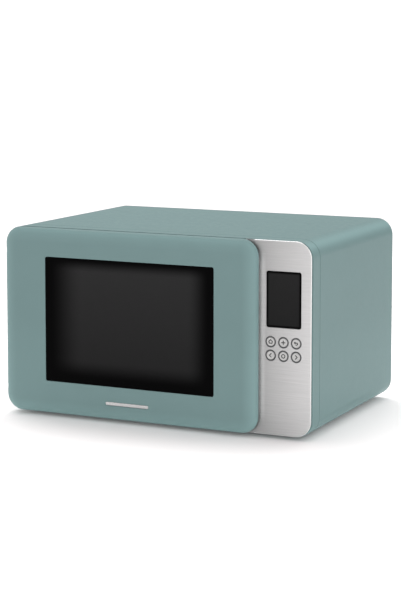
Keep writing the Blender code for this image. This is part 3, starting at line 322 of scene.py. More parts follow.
def teal_paint(name, painted_roll_highlight):
    """Satin paint with a little orange peel; painted highlight lightens rolled edges, painted light the
    bottom.
    """
    s = Surface(name, TEAL, 0.40, Specular_IOR_Level=0.06)
    # painted light: the colour is lighter towards the bottom, in place of bounce light from the floor
    low, high = (tuple(c * share for c in TEAL) for share in (1.12, 0.98))
    paint = s.tint(s.parts(s.place)["Z"], low, high, (0.02, 0.15))
    normal = s.parts(s.add("ShaderNodeTexCoord").outputs["Normal"])
    even = s.spread(s.noise(26.0, 3.0), 0.99, 1.01)
    # painted roll highlight, times a faint random tone
    lighter = s.times(s.plus(painted_roll_highlight(s, normal), 1.0), even)
    scaled = s.add("ShaderNodeVectorMath", {"Vector": paint, "Scale": lighter}, operation="SCALE")
    s.link(scaled.outputs["Vector"], "Base Color")
    s.rough(s.noise(160.0, 3.0), 0.36, 0.42)
    s.bump(s.noise(420.0, 2.0), 0.03, 0.05)
    return s.material


def brushed_steel():
    """Steel brushed along X: thin streaks, a painted reflection growing to the right, painted light by the
    door.
    """
    s = Surface("brushed_steel", (0.53, 0.53, 0.525), 0.46, 0.9)
    fine = s.noise(1.0, 4.0, BRUSHING, 0.65)
    coarse = s.noise(1.0, 3.0, (22.0, 22.0, 560.0), 0.6)
    both = s.plus(s.times(fine, 0.55), s.times(coarse, 0.45))
    streaks = s.spread(both, 0.86, 1.12)
    parts = s.parts(s.place)
    # painted reflection: lighter to the right and darker towards the top
    painted_sheen = s.times(s.spread(parts["X"], 0.76, 1.14, (0.163, 0.240)),
                    s.spread(parts["Z"], 0.96, 0.88, (0.0, 0.28)))
    # painted light: a lighter band beside the door, where the door casts shade on the panel; kept off the
    # corners
    painted_light_by_door = s.times(s.spread(parts["X"], 1.7, 1.0, (0.163, 0.172)),
                          s.spread(parts["X"], 2.0, 1.0, (0.1605, 0.1635)))
    off_middle = s.maths("ABSOLUTE", s.minus(parts["Z"], MIDDLE * MM))
    painted_light_mask = s.spread(off_middle, 1.0, 0.0, (0.104, 0.124))
    painted_light_by_door = s.plus(s.times(s.minus(painted_light_by_door, 1.0), painted_light_mask), 1.0)
    steel_grey, lightest = 0.515, 0.95
    grey = s.times(s.times(painted_sheen, streaks), s.times(painted_light_by_door, steel_grey))
    grey = s.maths("MINIMUM", grey, lightest)
    colour = s.add("ShaderNodeCombineColor", dict.fromkeys(("Red", "Green", "Blue"), grey))
    s.link(colour.outputs["Color"], "Base Color")
    s.rough(both, 0.42, 0.54)
    s.bump(fine, 0.12, 0.02)
    return s.material


def printed_glass(name, x, z, level, fades, slope):
    """Glass printed black on its back: a black border that fades to the dark grey behind it.

    x and z are the pane's ends, and fades the start and end of each fade from its edge, in millimetres,
    in the order left, right, bottom, top. level is the grey, and slope its share at the bottom and top.
    """
    s = Surface(name, PRINT_BLACK, 0.06, Specular_IOR_Level=0.018)
    parts = s.parts(s.place)
    factor = s.times(s.spread(s.noise(700.0, 2.0), 0.92, 1.08),
                     s.spread(parts["Z"], *slope, (z[0] * MM, z[1] * MM)))
    for axis, edge, inward, fade in zip("XXZZ", (*x, *z), (1, -1, 1, -1), fades):
        start, end = (edge + inward * reach for reach in fade)
        values = {"From Min": min(start, end) * MM, "From Max": max(start, end) * MM,
                  "To Min": 0.5 - inward / 2, "To Max": 0.5 + inward / 2}
        ramp = s.add("ShaderNodeMapRange", {"Value": parts[axis]}, values, interpolation_type="SMOOTHSTEP")
        factor = s.times(factor, ramp.outputs["Result"])
    mix = s.add("ShaderNodeMix", {"Factor": factor}, data_type="RGBA", clamp_factor=False)
    s.between(mix, PRINT_BLACK, (level, level, level * 1.02))
    return s.material


def perforated_steel():
    """The microwave screen: black steel with rows of small round holes."""
    s = Surface("perforated_steel", (0.03, 0.03, 0.032), 0.45, 0.3)
    pitch = 2.2
    parts = s.parts(s.place)
    waves = [s.maths("COSINE", s.times(parts[axis], 2 * pi / (pitch * MM))) for axis in "XZ"]
    holes = s.plus(*waves)
    s.tint(holes, (0.035, 0.035, 0.037), (0.002, 0.002, 0.002), (0.55, 0.85))
    s.bump(s.spread(holes, 1.0, 0.0, (0.5, 0.9)), 0.5, 0.3)
    s.rough(s.noise(300.0, 2.0), 0.38, 0.55)
    return s.material


def zinc_steel():
    """Galvanised sheet with a faint spangle."""
    s = Surface("zinc_steel", (0.50, 0.51, 0.52), 0.42, 1.0)
    spangle = s.cells(120.0)
    s.shade(spangle, 0.09, (0.0, 1.0))
    s.rough(spangle, 0.34, 0.50, (0.0, 1.0))
    s.bump(s.noise(700.0, 3.0), 0.06, 0.03)
    return s.material


def circuit_board():
    s = Surface("circuit_board", (0.03, 0.15, 0.06), 0.4)
    s.shade(s.cells(350.0), 0.25, (0.0, 1.0))
    s.rough(s.noise(600.0, 2.0), 0.32, 0.5)
    return s.material


def mica():
    """Pressed mica: pale, mottled with flakes."""
    s = Surface("mica", (0.55, 0.50, 0.40), 0.45)
    s.shade(s.cells(260.0), 0.18, (0.0, 1.0))
    s.rough(s.noise(300.0, 3.0), 0.32, 0.6)
    s.bump(s.noise(800.0, 2.0), 0.1, 0.03)
    return s.material


MATERIALS = {
    "teal_paint": teal_paint("teal_paint", painted_case_roll_highlight),
    "teal_moulding": teal_paint("teal_moulding", painted_case_roll_highlight),
    "teal_door": teal_paint("teal_door", painted_door_roll_highlight),
    "brushed_steel": brushed_steel(),
    "bar_steel": satin_trim("bar_steel", 0.50),
    "edge_steel": satin_trim("edge_steel", 0.74),
    "clear_glass": varied("clear_glass", (0.90, 0.96, 0.95), 0.03, 0.0, ((12.0, 2.0), 0.01),
                          ((40.0, 2.0), 0.015, 0.05), Transmission_Weight=1.0, IOR=1.5),
    "clear_film": varied("clear_film", (0.85, 0.86, 0.87), 0.12, 0.0, ((14.0, 2.0), 0.02),
                         ((60.0, 3.0), 0.08, 0.20), Transmission_Weight=1.0, IOR=1.2),
    "zinc_steel": zinc_steel(),
    "black_plastic": plastic("black_plastic", (0.022, 0.022, 0.024)),
    "grey_plastic": plastic("grey_plastic", (0.075, 0.078, 0.082), (0.34, 0.46)),
    "white_plastic": plastic("white_plastic", (0.72, 0.72, 0.69), (0.34, 0.46)),
    "rubber": plastic("rubber", (0.018, 0.018, 0.018), (0.62, 0.82), 700.0, 0.3),
    "circuit_board": circuit_board(),
    "mica": mica(),
}
# Colour, roughness, metallic, and what noise does to the shade, the roughness and the surface.
VARIED = {
    "key_steel": ((0.44, 0.44, 0.435), 0.44, 0.9, (KEY_BRUSHING, 0.10), (KEY_BRUSHING, 0.40, 0.50)),
    "grey_enamel": ((0.36, 0.37, 0.37), 0.34, 0.0, ((2600.0, 3.0), 0.12), ((300.0, 3.0), 0.28, 0.42),
                    ((900.0, 2.0), 0.08, 0.04)),
    "black_steel": ((0.022, 0.022, 0.024), 0.42, 0.0, ((500.0, 3.0), 0.18), ((260.0, 3.0), 0.36, 0.52),
                    ((1500.0, 2.0), 0.12, 0.04)),
    "spring_steel": ((0.55, 0.55, 0.56), 0.25, 1.0, ((1500.0, 2.0), 0.08), ((800.0, 2.0), 0.2, 0.32)),
    "aluminium": ((0.72, 0.73, 0.74), 0.34, 1.0, ((1.0, 3.0, (14.0, 14.0, 900.0)), 0.06),
                  ((400.0, 2.0), 0.28, 0.42)),
    "iron_core": ((0.16, 0.15, 0.14), 0.5, 0.6, ((1.0, 2.0, LAMINATIONS), 0.3), ((300.0, 2.0), 0.42, 0.6),
                  ((1.0, 1.0, LAMINATIONS), 0.3, 0.1)),
    "copper_wire": ((0.50, 0.19, 0.08), 0.34, 1.0, (WINDING, 0.2), ((500.0, 2.0), 0.28, 0.42),
                    (WINDING, 0.4, 0.2)),
}
MATERIALS.update({name: varied(name, *row) for name, row in VARIED.items()})

# -------- shape helpers

CORNER_STEPS = 16
SMALLEST_R = 0.15
SHARP_DEGREES = 32


def span(node):
    """A CAD node's (low, high) in X, Y and Z, in millimetres."""
    low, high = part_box(node)
    return tuple((a / MM, b / MM) for a, b in zip(low, high))


def centre(node):
    """The middle of a CAD node's box, in millimetres."""
    return tuple(sum(pair) / 2 for pair in span(node))


def grown(pair, by):
    return (pair[0] - by, pair[1] + by)


def to_object(bm):
    mesh = bpy.data.meshes.new("shape")
    bm.to_mesh(mesh)
    bm.free()
    obj = bpy.data.objects.new("shape", mesh)
    bpy.context.scene.collection.objects.link(obj)
    return obj


def outline(x, z, radii, steps=CORNER_STEPS):
    """(x, z) points round a rectangle with rounded corners, from the upper right one by the upper left."""
    points = []
    for i, (cx, cz, sx, sz) in enumerate(((x[1], z[1], -1, -1), (x[0], z[1], 1, -1),
                                          (x[0], z[0], 1, 1), (x[1], z[0], -1, 1))):
        r = max(radii[i], SMALLEST_R)
        for step in range(steps + 1):
            turn = pi / 2 * (i + step / steps)
            points.append((cx + sx * r + r * cos(turn), cz + sz * r + r * sin(turn)))
    return points


def loft(rings, closed=False):
    """A skin over rings of points in millimetres; it is capped at both ends, or closed on itself."""
    bm = bmesh.new()
    rows = [[bm.verts.new(Vector(p) * MM) for p in ring] for ring in rings]
    pairs = list(zip(rows, rows[1:]))
    if closed:
        pairs.append((rows[-1], rows[0]))
    for a, b in pairs:
        for i in range(len(a)):
            j = (i + 1) % len(a)
            bm.faces.new((a[i], a[j], b[j], b[i]))
    if not closed:
        bm.faces.new(rows[0])
        bm.faces.new(rows[-1])
    bmesh.ops.recalc_face_normals(bm, faces=bm.faces)
    return to_object(bm)


def rings(x, z, radius, profile, steps=CORNER_STEPS):
    """Rings of one outline, for a profile of (inset, y) pairs; its corners keep their centres.

    radius is one number, or one for each corner, in outline's order.
    """
    full = radius if isinstance(radius, tuple) else (radius,) * 4
    made = []
    for inset, y in profile:
        radii = tuple(max(r - inset, SMALLEST_R) for r in full)
        made.append([(px, y, pz) for px, pz in outline(grown(x, -inset), grown(z, -inset), radii, steps)])
    return made


def roll(first, last, steps=6, along_y=True):
    """Quarter-ellipse points between two (inset, y) pairs, leaving the first along Y or along the inset."""
    points = []
    for step in range(steps + 1):
        turn = pi / 2 * step / steps
        slow, fast = 1 - cos(turn), sin(turn)
        u, v = (slow, fast) if along_y else (fast, slow)
        points.append((first[0] + (last[0] - first[0]) * u, first[1] + (last[1] - first[1]) * v))
    return points


AXES = {
    "X": Matrix(((0, 0, 1, 0), (1, 0, 0, 0), (0, 1, 0, 0), (0, 0, 0, 1))),
    "Y": Matrix(((0, 1, 0, 0), (0, 0, 1, 0), (1, 0, 0, 0), (0, 0, 0, 1))),
    "Z": Matrix.Identity(4),
}


def turned(axis, place, profile, steps=64, ring=False):
    """A turned solid round an axis through place.

    profile holds (radius, height) pairs from axis to axis, or all round the section of a ring.
    """
    bm = bmesh.new()
    turns = [2 * pi * i / steps for i in range(steps)]
    rows = []
    for r, h in profile:
        if r < 1e-6:
            rows.append([bm.verts.new((0, 0, h * MM))])
        else:
            rows.append([bm.verts.new((r * cos(turn) * MM, r * sin(turn) * MM, h * MM)) for turn in turns])
    for a, b in zip(rows, rows[1:] + (rows[:1] if ring else [])):
        for i in range(steps):
            j = (i + 1) % steps
            if len(a) == 1:
                bm.faces.new((a[0], b[j], b[i]))
            elif len(b) == 1:
                bm.faces.new((a[i], a[j], b[0]))
            else:
                bm.faces.new((a[i], a[j], b[j], b[i]))
    bmesh.ops.recalc_face_normals(bm, faces=bm.faces)
    obj = to_object(bm)
    obj.data.transform(Matrix.Translation(Vector(place) * MM) @ AXES[axis])
    return obj


def softened(profile, radius, steps=3, ring=False):
    """A turned profile with its corners rounded off; corners on the axis stay."""
    made = []
    count = len(profile)
    for i, (r, h) in enumerate(profile):
        if not ring and i in (0, count - 1):
            made.append((r, h))
            continue
        here = Vector((r, h))
        before, after = Vector(profile[i - 1]) - here, Vector(profile[(i + 1) % count]) - here
        reach = min(radius, before.length * 0.45, after.length * 0.45)
        a, b = here + before.normalized() * reach, here + after.normalized() * reach
        for step in range(steps + 1):
            t = step / steps
            point = a * (1 - t) ** 2 + here * (2 * t * (1 - t)) + b * t ** 2
            made.append((point.x, point.y))
    return made


def rod(axis, place, length, radius, steps=32):
    return turned(axis, place, [(0, 0), (radius, 0), (radius, length), (0, length)], steps)


def box(x, y, z, edge=0.0):
    bm = bmesh.new()
    bmesh.ops.create_cube(bm, size=1.0)
    for vert in bm.verts:
        vert.co = [((low + high) / 2 + c * (high - low)) * MM for c, (low, high) in zip(vert.co, (x, y, z))]
    if edge:
        bmesh.ops.bevel(bm, geom=bm.edges[:], offset=edge * MM, offset_type="OFFSET", segments=2, profile=0.5,
                        affect="EDGES")
    return to_object(bm)


def slot(x, y, z, along):
    """A through slot along one axis with full round ends across its longer side."""
    axis = "XYZ".index(along)
    spans = [x, y, z]
    across = [i for i in range(3) if i != axis]
    sizes = [spans[i][1] - spans[i][0] for i in across]
    flat = outline(spans[across[0]], spans[across[1]], (min(sizes) / 2 - 0.01,) * 4, 6)
    made = []
    for station in spans[axis]:
        ring = []
        for a, b in flat:
            point = [0.0, 0.0, 0.0]
            point[across[0]], point[across[1]], point[axis] = a, b, station
            ring.append(point)
        made.append(ring)
    return loft(made)


def together(shapes):
    bm = bmesh.new()
    for shape in shapes:
        bm.from_mesh(shape.data)
        bpy.data.objects.remove(shape, do_unlink=True)
    return to_object(bm)


def slot_row(x, y, z, along, step, count):
    """A row of equal slots, each an (x, y, z) step beyond the last."""
    made = []
    for i in range(count):
        place = [(low + move * i, high + move * i) for (low, high), move in zip((x, y, z), step)]
        made.append(slot(*place, along))
    return together(made)


def boolean(body, tools, operation):
    for tool in tools:
        modifier = body.modifiers.new(operation.lower(), "BOOLEAN")
        modifier.operation = operation
        modifier.solver = "EXACT"
        modifier.object = tool
    graph = bpy.context.evaluated_depsgraph_get()
    mesh = bpy.data.meshes.new_from_object(body.evaluated_get(graph))
    body.modifiers.clear()
    body.data = mesh
    for tool in tools:
        bpy.data.objects.remove(tool, do_unlink=True)
    return body


def cut(body, *tools):
    return boolean(body, tools, "DIFFERENCE")


def join(body, *tools):
    return boolean(body, tools, "UNION")


def thirds(first):
    """Three angles a third of a turn apart."""
    return [first + 2 * pi * i / 3 for i in range(3)]


def turned_about(obj, angle, place):
    """Turns a shape round the vertical axis through an (x, y) place."""
    middle = Matrix.Translation(Vector((*place, 0)) * MM)
    obj.data.transform(middle @ Matrix.Rotation(angle, 4, "Z") @ middle.inverted())
    return obj


def ribbon(path, width, y, closed=False):
    """A flat stroke of one width along a path of (x, z) points, raised between two stations on Y."""
    count = len(path)
    points = [Vector(p) for p in path]
    left, right = [], []
    for i, point in enumerate(points):
        before = point - points[i - 1] if closed or i > 0 else None
        after = points[(i + 1) % count] - point if closed or i < count - 1 else None
        before, after = (before or after).normalized(), (after or before).normalized()
        normal = Vector((-(before.y + after.y), before.x + after.x)).normalized()
        reach = width / 2 / max(0.35, normal.dot(Vector((-after.y, after.x))))
        left.append(point + normal * reach)
        right.append(point - normal * reach)
    bm = bmesh.new()
    rows = [[bm.verts.new(Vector((p.x, station, p.y)) * MM) for p in side]
            for side, station in ((left, y[0]), (right, y[0]), (right, y[1]), (left, y[1]))]
    last = count if closed else count - 1
    for i in range(last):
        j = (i + 1) % count
        for a, b in zip(rows, rows[1:] + rows[:1]):
            bm.faces.new((a[i], a[j], b[j], b[i]))
    if not closed:
        for end in (0, count - 1):
            bm.faces.new([row[end] for row in rows])
    bmesh.ops.recalc_face_normals(bm, faces=bm.faces)
    return to_object(bm)


def finish_mesh(obj, weighted):
    obj.data.shade_smooth()
    obj.data.set_sharp_from_angle(angle=radians(SHARP_DEGREES))
    if weighted:
        modifier = obj.modifiers.new("normals", "WEIGHTED_NORMAL")
        modifier.mode = "FACE_AREA"
        modifier.keep_sharp = True
        modifier.weight = 50


def piece(name, obj, nodes, material=None, body=None, slot_name=None, weighted=True):
    """Names a finished shape, which stands for CAD nodes and rides with the first one's body."""
    obj.name = obj.data.name = name
    obj.data.materials.clear()
    first = nodes[0] if nodes else None
    slot_name = slot_name or SLOT_OF[first]
    obj.data.materials.append(material or MATERIALS[slot_name])
    finish_mesh(obj, weighted)
    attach(obj, body or BODY_OF[first])
    if nodes:
        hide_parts(*nodes)
    return obj


# -------- stations from the CAD

DOOR_X, DOOR_Y, DOOR_Z = span("door_shell")
CASE_X, CASE_Y, CASE_Z = span("casing")
FRAME_X, FRAME_Y, FRAME_Z = span("front_frame")
FASCIA_X, FASCIA_Y, FASCIA_Z = span("control_fascia")
PANE_X, PANE_Y, PANE_Z = span("display_window")
GLASS_X, GLASS_Y, GLASS_Z = span("door_glass")
BADGE_X, BADGE_Y, BADGE_Z = span("door_badge")
CORNER_R = 25.0
SHEET = 1.0
GAP = 0.3
SEAM_MORE = 0.45
SKIN = 2.0
ROLL_WIDTH, ROLL_DEPTH = 21.0, 11.0
GLASS_LAP = 6.0
WINDOW_X, WINDOW_Z = grown(GLASS_X, -GLASS_LAP), grown(GLASS_Z, -GLASS_LAP)
DISPLAY_X, DISPLAY_Z = grown(PANE_X, GAP), grown(PANE_Z, GAP)
PIN_X, PIN_Y, _ = centre("hinge_pin_upper")
KNUCKLES = ((240.0, 246.0), (2 * MIDDLE - 246.0, 2 * MIDDLE - 240.0))
HOOK_BOTTOMS = (75.0, 208.0)
SCREW_X, SCREW_HOLE_R = CASE_X[1] - 4.6, 2.2
PANEL_R = 23.5
PANEL_WIDTH, TAB_HEIGHT = 87.5, 9.0
KEY_R, KEY_HOLE_R, RING_R = 6.15, 7.9, (7.6, 6.5)
KEY_NAMES = [f"key_{row}_{column}" for row in ("upper", "lower") for column in ("left", "middle", "right")]
KEY_PLACES = {name: centre(name)[::2] for name in KEY_NAMES}
TRAY_FRONT, TRAY_FLOOR = FASCIA_Y[1] + GAP, 1.8
TABLE_X, TABLE_Y, _ = centre("glass_turntable")
TRACK_R, WHEEL_R, WHEEL_HALF, WHEEL_Z = 101.75, 7.2, 3.25, 39.0

# -------- outside


def screw_holes(start, length):
    """Through holes for the two rear screws."""
    return together([rod("Y", (side * SCREW_X, start, MIDDLE), length, SCREW_HOLE_R) for side in (-1, 1)])


def at_keys(front, profile):
    """A turned solid at each key's place."""
    return [turned("Y", (x, front, z), profile) for x, z in KEY_PLACES.values()]


def casing():
    """The wrapped sheet, open at the front and under the base plate, with vents on the left."""
    front, rear = CASE_Y
    lip, open_half = 9.0, 210.0
    outside = roll((0.35, front + 0.3), (0, front + 0.7), 4, False) + roll((0, rear - 2.5), (2.5, rear), 7)
    back = [(lip, rear), (lip, rear - SHEET)]
    inside = [(SHEET + 1.5, rear - SHEET), (SHEET, rear - SHEET - 1.5), (SHEET, front + 0.3)]
    shell = loft(rings(CASE_X, CASE_Z, CORNER_R, outside + back + inside), closed=True)
    underside = box((-open_half, open_half), (front - 10, rear + 10), (CASE_Z[0] - 5, CASE_Z[0] + lip + 2))
    vents = slot_row((CASE_X[0] - 5, CASE_X[0] + 5), (56.7, 59.3), (172.0, 218.0), "X", (0, 6, 0), 14)
    piece("casing_wrap", cut(shell, underside, vents, screw_holes(rear - 5, 10)), ["casing"])


def front_ring():
    """The moulded frame round the oven's front, with a tongue inside the casing."""
    front, seam = FRAME_Y[0], CASE_Y[0] - GAP - SEAM_MORE
    tongue_inset, tongue_wall = SHEET + GAP, 2.0
    outside = roll((0, front + 0.35), (0.35, front), 4)
    rear_edge = roll((0.35, seam), (0, seam - 0.35), 4, False)
    body = loft(rings(FRAME_X, FRAME_Z, CORNER_R, rear_edge + outside))
    tongue = loft(rings(FRAME_X, FRAME_Z, CORNER_R, [(tongue_inset, seam - 2), (tongue_inset, FRAME_Y[1])]))
    core_rear = span("front_plate")[1][0] - 1.5
    recess = loft(rings((FRAME_X[0] + 10.5, 151.0), (FRAME_Z[0] + 10, FRAME_Z[1] - 10), 4.0,
                        [(0, core_rear + 1), (0, front + 0.8), (-0.8, front), (-4.0, front - 3.2)], 6))
    bay = loft(rings((156.0, FRAME_X[1] - 9.5), (FRAME_Z[0] + 9, FRAME_Z[1] - 9), (14.0, 0.2, 0.2, 14.0),
                     [(0, core_rear + 1), (0, front - 5)]))
    behind = loft(rings(FRAME_X, FRAME_Z, CORNER_R, [(tongue_inset + tongue_wall, core_rear),
                                                      (tongue_inset + tongue_wall, seam + 15)]))
    piece("front_ring", cut(join(body, tongue), recess, bay, behind), ["front_frame"])


def steel_panel():
    """The brushed panel, and the polished strip on its chamfered edge."""
    front, rear = FASCIA_Y
    left = FASCIA_X[1] - PANEL_WIDTH
    x = (left, FASCIA_X[1])
    radii, chamfer, strip = (PANEL_R, 0.3, 0.3, PANEL_R), 0.8, 0.3
    inset = chamfer + strip / 2
    profile = roll((0.2, rear), (0, rear - 0.2), 2, False)
    profile += [(strip, rear - 0.3), (strip, front + inset), (inset, front + strip), (inset, front)]
    sheet = loft(rings(x, FASCIA_Z, radii, profile, 20))
    window = loft(rings(DISPLAY_X, DISPLAY_Z, 3.0,
                        [(0, rear + 1), (0, front + 0.45), (-0.45, front), (-1.4, front - 1)], 10))
    r = KEY_HOLE_R
    holes = together(at_keys(front, [(0, -1), (r + 1.3, -1), (r + 0.3, 0), (r, 0.3), (r, 3), (0, 3)]))
    tabs = [box((FASCIA_X[0], left + 2.5), (front, rear), z, 0.15)
            for z in ((FASCIA_Z[0], FASCIA_Z[0] + TAB_HEIGHT), (FASCIA_Z[1] - TAB_HEIGHT, FASCIA_Z[1]))]
    piece("steel_panel", cut(join(sheet, *tabs), window, holes), ["control_fascia"])
    profile = [(strip, rear - 0.35), (0, rear - 0.35), (0, front + chamfer + 0.1)]
    profile += roll((0, front + chamfer), (chamfer, front), 6) + [(inset, front), (inset, front + strip)]
    beside = box((left - 5, left + 2.4), (front - 5, rear + 5), grown(FASCIA_Z, 5))
    edge = cut(loft(rings(x, FASCIA_Z, radii, profile, 20), closed=True), beside)
    piece("panel_edge", edge, [], MATERIALS["edge_steel"], BODY_OF["control_fascia"], "polished_steel")


def key_rings():
    """The moulding behind the panel; its six tubes show as dark rings round the keys."""
    x, y, z = span("fascia_carrier")
    wall, tray_r = 2.0, 13.6
    radii = (tray_r, 0.3, 0.3, tray_r)
    inner = tuple(max(r - wall, 0.3) for r in radii)
    back = TRAY_FRONT + TRAY_FLOOR
    tray = loft(rings(x, z, radii, [(0, y[1]), (0, TRAY_FRONT + 0.3), (0.3, TRAY_FRONT)], 8))
    hollow = loft(rings(grown(x, -wall), grown(z, -wall), inner, [(0, y[1] + 5), (0, back)], 8))
    window = loft(rings(grown(DISPLAY_X, -2), grown(DISPLAY_Z, -2), 2.0,
                        [(0, back + 2), (0, TRAY_FRONT - 2)], 4))
    front = FASCIA_Y[0]
    outer_r, inner_r = RING_R
    length = back + 5 - front
    tube = softened([(0, 0), (outer_r, 0), (outer_r, length), (0, length)], 0.15)
    bore = [(0, -2), (inner_r + 1, -1), (inner_r + 0.12, 0), (inner_r, 0.15), (inner_r, 15), (0, 15)]
    body = join(cut(tray, hollow), *at_keys(front, tube))
    piece("key_ring_moulding", cut(body, window, together(at_keys(front, bore))), ["fascia_carrier"])


def key_mark_paths():
    """Plain symbols as strokes: (points, closed), in millimetres from the key's middle."""
    radius, steps = 2.5, 28
    circle = [(radius * cos(radians(360.0 * i / steps)), radius * sin(radians(360.0 * i / steps)))
              for i in range(steps)]
    house = [(-1.9, -2.2), (1.9, -2.2), (2.6, 0.6), (0.0, 2.7), (-2.6, 0.6)]
    turning = [(-2.4, 1.0), (1.3, 1.0), (2.1, 0.2), (2.1, -1.0), (1.3, -1.8), (-0.9, -1.8)]
    return {
        "key_upper_left": [(house, True)],
        "key_upper_middle": [([(-3.0, 0), (3.0, 0)], False), ([(0, -3.0), (0, 3.0)], False)],
        "key_upper_right": [(turning, False), ([(-1.0, 2.3), (-2.5, 1.0), (-1.0, -0.3)], False)],
        "key_lower_left": [([(1.3, 2.9), (-1.7, 0.0), (1.3, -2.9)], False)],
        "key_lower_middle": [(circle, True)],
        "key_lower_right": [([(-1.3, 2.9), (1.7, 0.0), (-1.3, -2.9)], False)],
    }


def keys():
    """Six steel caps, each with a plain symbol in grey on it."""
    marks = key_mark_paths()
    stroke, proud = 1.35, 0.05
    for name, (x, z) in KEY_PLACES.items():
        front, end = span(name)[1]
        flange_front = TRAY_FRONT + TRAY_FLOOR + 5 + GAP
        profile = [(0, end), (2.5, end), (2.5, flange_front + 1.2), (7.4, flange_front + 1.2),
                   (7.4, flange_front), (KEY_R, flange_front), (KEY_R, front + 0.5),
                   (KEY_R - 0.15, front + 0.2), (KEY_R - 0.4, front), (0, front)]
        cap = turned("Y", (x, front, z), [(r, h - front) for r, h in profile])
        piece(name + "_cap", cap, [name], MATERIALS["key_steel"])
        y = (front - proud, front + 0.2)
        strokes = [ribbon([(x + px, z + pz) for px, pz in path], stroke, y, closed)
                   for path, closed in marks[name]]
        piece(name + "_mark", together(strokes), [], body=BODY_OF[name], slot_name="black_plastic",
              weighted=False)


def display():
    front, rear = PANE_Y
    profile = roll((0.2, rear), (0, rear - 0.2), 3, False) + roll((0, front + 0.25), (0.25, front), 3)
    pane = loft(rings(PANE_X, PANE_Z, 2.7, profile, 10))
    material = printed_glass("display_glass", PANE_X, PANE_Z, 0.0150, ((1.2, 4.2),) * 4, (0.88, 1.14))
    piece("display_pane", pane, ["display_window"], material)


# -------- door


def door_skin():
    """The door's one-piece outside, rolled back round all four edges, with a rolled window edge."""
    front, rear = DOOR_Y
    outside = [(0.5, rear), (0, rear - 0.5)] + roll((0, front + ROLL_DEPTH), (ROLL_WIDTH, front), 16)
    window_edge = roll((-0.5, front), (0, front + 0.5), 4, False) + [(0, front + SKIN)]
    inside = roll((ROLL_WIDTH, front + SKIN), (SKIN, front + ROLL_DEPTH), 8, False) + [(SKIN, rear)]
    loops = rings(DOOR_X, DOOR_Z, CORNER_R, outside)
    loops += rings(WINDOW_X, WINDOW_Z, 3.0, window_edge)
    loops += rings(DOOR_X, DOOR_Z, CORNER_R, inside)
    shell = loft(loops, closed=True)
    recess = loft(rings(grown(BADGE_X, GAP), grown(BADGE_Z, GAP), 2.5,
                        [(0, front + 1.0), (0, front + 0.15), (-0.15, front), (-1.15, front - 1.0)], 8))
    notches = [box((DOOR_X[0] - 3, DOOR_X[0] + 6), (PIN_Y - 1.7, rear + 3), grown(knuckle, 0.5))
               for knuckle in KNUCKLES]
    piece("door_skin", cut(shell, recess, *notches), ["door_shell"], MATERIALS["teal_door"])


def door_badge():
    """A plain slim bar."""
    front, rear = BADGE_Y
    profile = roll((0.2, rear), (0, rear - 0.2), 2, False) + roll((0, front + 0.45), (0.9, front), 6)
    piece("door_bar", loft(rings(BADGE_X, BADGE_Z, 2.2, profile, 12)), ["door_badge"], MATERIALS["bar_steel"])


def door_glass():
    """The pane, stepped so that its middle stands in the skin's window and its rim lies behind it."""
    front, rear = GLASS_Y
    step = DOOR_Y[0] + SKIN + GAP
    pane = (rings(GLASS_X, GLASS_Z, 4.0, [(0.3, rear), (0, rear - 0.3), (0, step)])
            + rings(grown(WINDOW_X, -GAP), grown(WINDOW_Z, -GAP), 2.7,
                    [(0, step)] + roll((0, front + 0.3), (0.3, front), 3)))
    fades = ((8.0, 63.0), (8.0, 42.0), (9.0, 37.0), (2.0, 20.0))
    material = printed_glass("window_glass", WINDOW_X, WINDOW_Z, 0.0183, fades, (0.74, 1.25))
    piece("window_glass", loft(pane), ["door_glass"], material)


def door_back():
    """The steel back of the door: a flange, the raised choke tray and the pin bosses."""
    edge, sheet = SKIN + 0.6, 1.5
    flange_y = (DOOR_Y[1] - 2.3, DOOR_Y[1] - 0.8)
    tray_x, tray_z = (-227.0, 135.0), (MIDDLE - 118.0, MIDDLE + 118.0)
    top = span("door_inner_frame")[1][1]
    view_x, view_z = grown(WINDOW_X, 4.0), grown(WINDOW_Z, 4.0)
    loops = rings(grown(DOOR_X, -edge), grown(DOOR_Z, -edge), CORNER_R - edge, [(0, y) for y in flange_y])
    tray_foot = roll((-1.5, flange_y[1]), (0, flange_y[1] + 1.5), 4, False)
    loops += rings(tray_x, tray_z, 6.0, tray_foot + roll((0, top - 2.5), (2.5, top), 6))
    loops += rings(view_x, view_z, 4.0, roll((-0.8, top), (0, top - 0.8), 3, False) + [(0, top - sheet)])
    inner_x, inner_z = grown(tray_x, -sheet), grown(tray_z, -sheet)
    loops += rings(inner_x, inner_z, 4.5, [(1.0, top - sheet), (0, top - sheet - 1.0), (0, flange_y[0])])
    body = loft(loops, closed=True)
    boss_r, boss_length, bore_r = 3.6, 6.4, 2.3
    boss = softened([(0, 0), (boss_r, 0), (boss_r, boss_length), (0, boss_length)], 0.4)
    bosses = [turned("Z", (PIN_X, PIN_Y, start), boss, 32)
              for knuckle in KNUCKLES for start in (knuckle[0] - 7, knuckle[1] + 0.6)]
    latch_x, _, latch_z = span("latch_hook")
    lug = box(latch_x, (flange_y[0] - 6.7, flange_y[1] - 0.3), (latch_z[1] + 27, latch_z[1] + 30), 0.3)
    room = [box((DOOR_X[0], tray_x[0] - 1.0), (flange_y[0] - 1.5, flange_y[1] + 5), grown(knuckle, 0.5))
            for knuckle in KNUCKLES]
    bores = [rod("Z", (PIN_X, PIN_Y, knuckle[0] - 9), 24, bore_r, 24) for knuckle in KNUCKLES]
    hook_x = (137.8, 144.2)
    hooks = [slot(hook_x, grown(flange_y, 1), (low - 0.7, low + 11.7), "Y") for low in HOOK_BOTTOMS]
    piece("door_back", cut(join(body, *bosses, lug), *room, *bores, *hooks), ["door_inner_frame"])


# -------- rear and underside


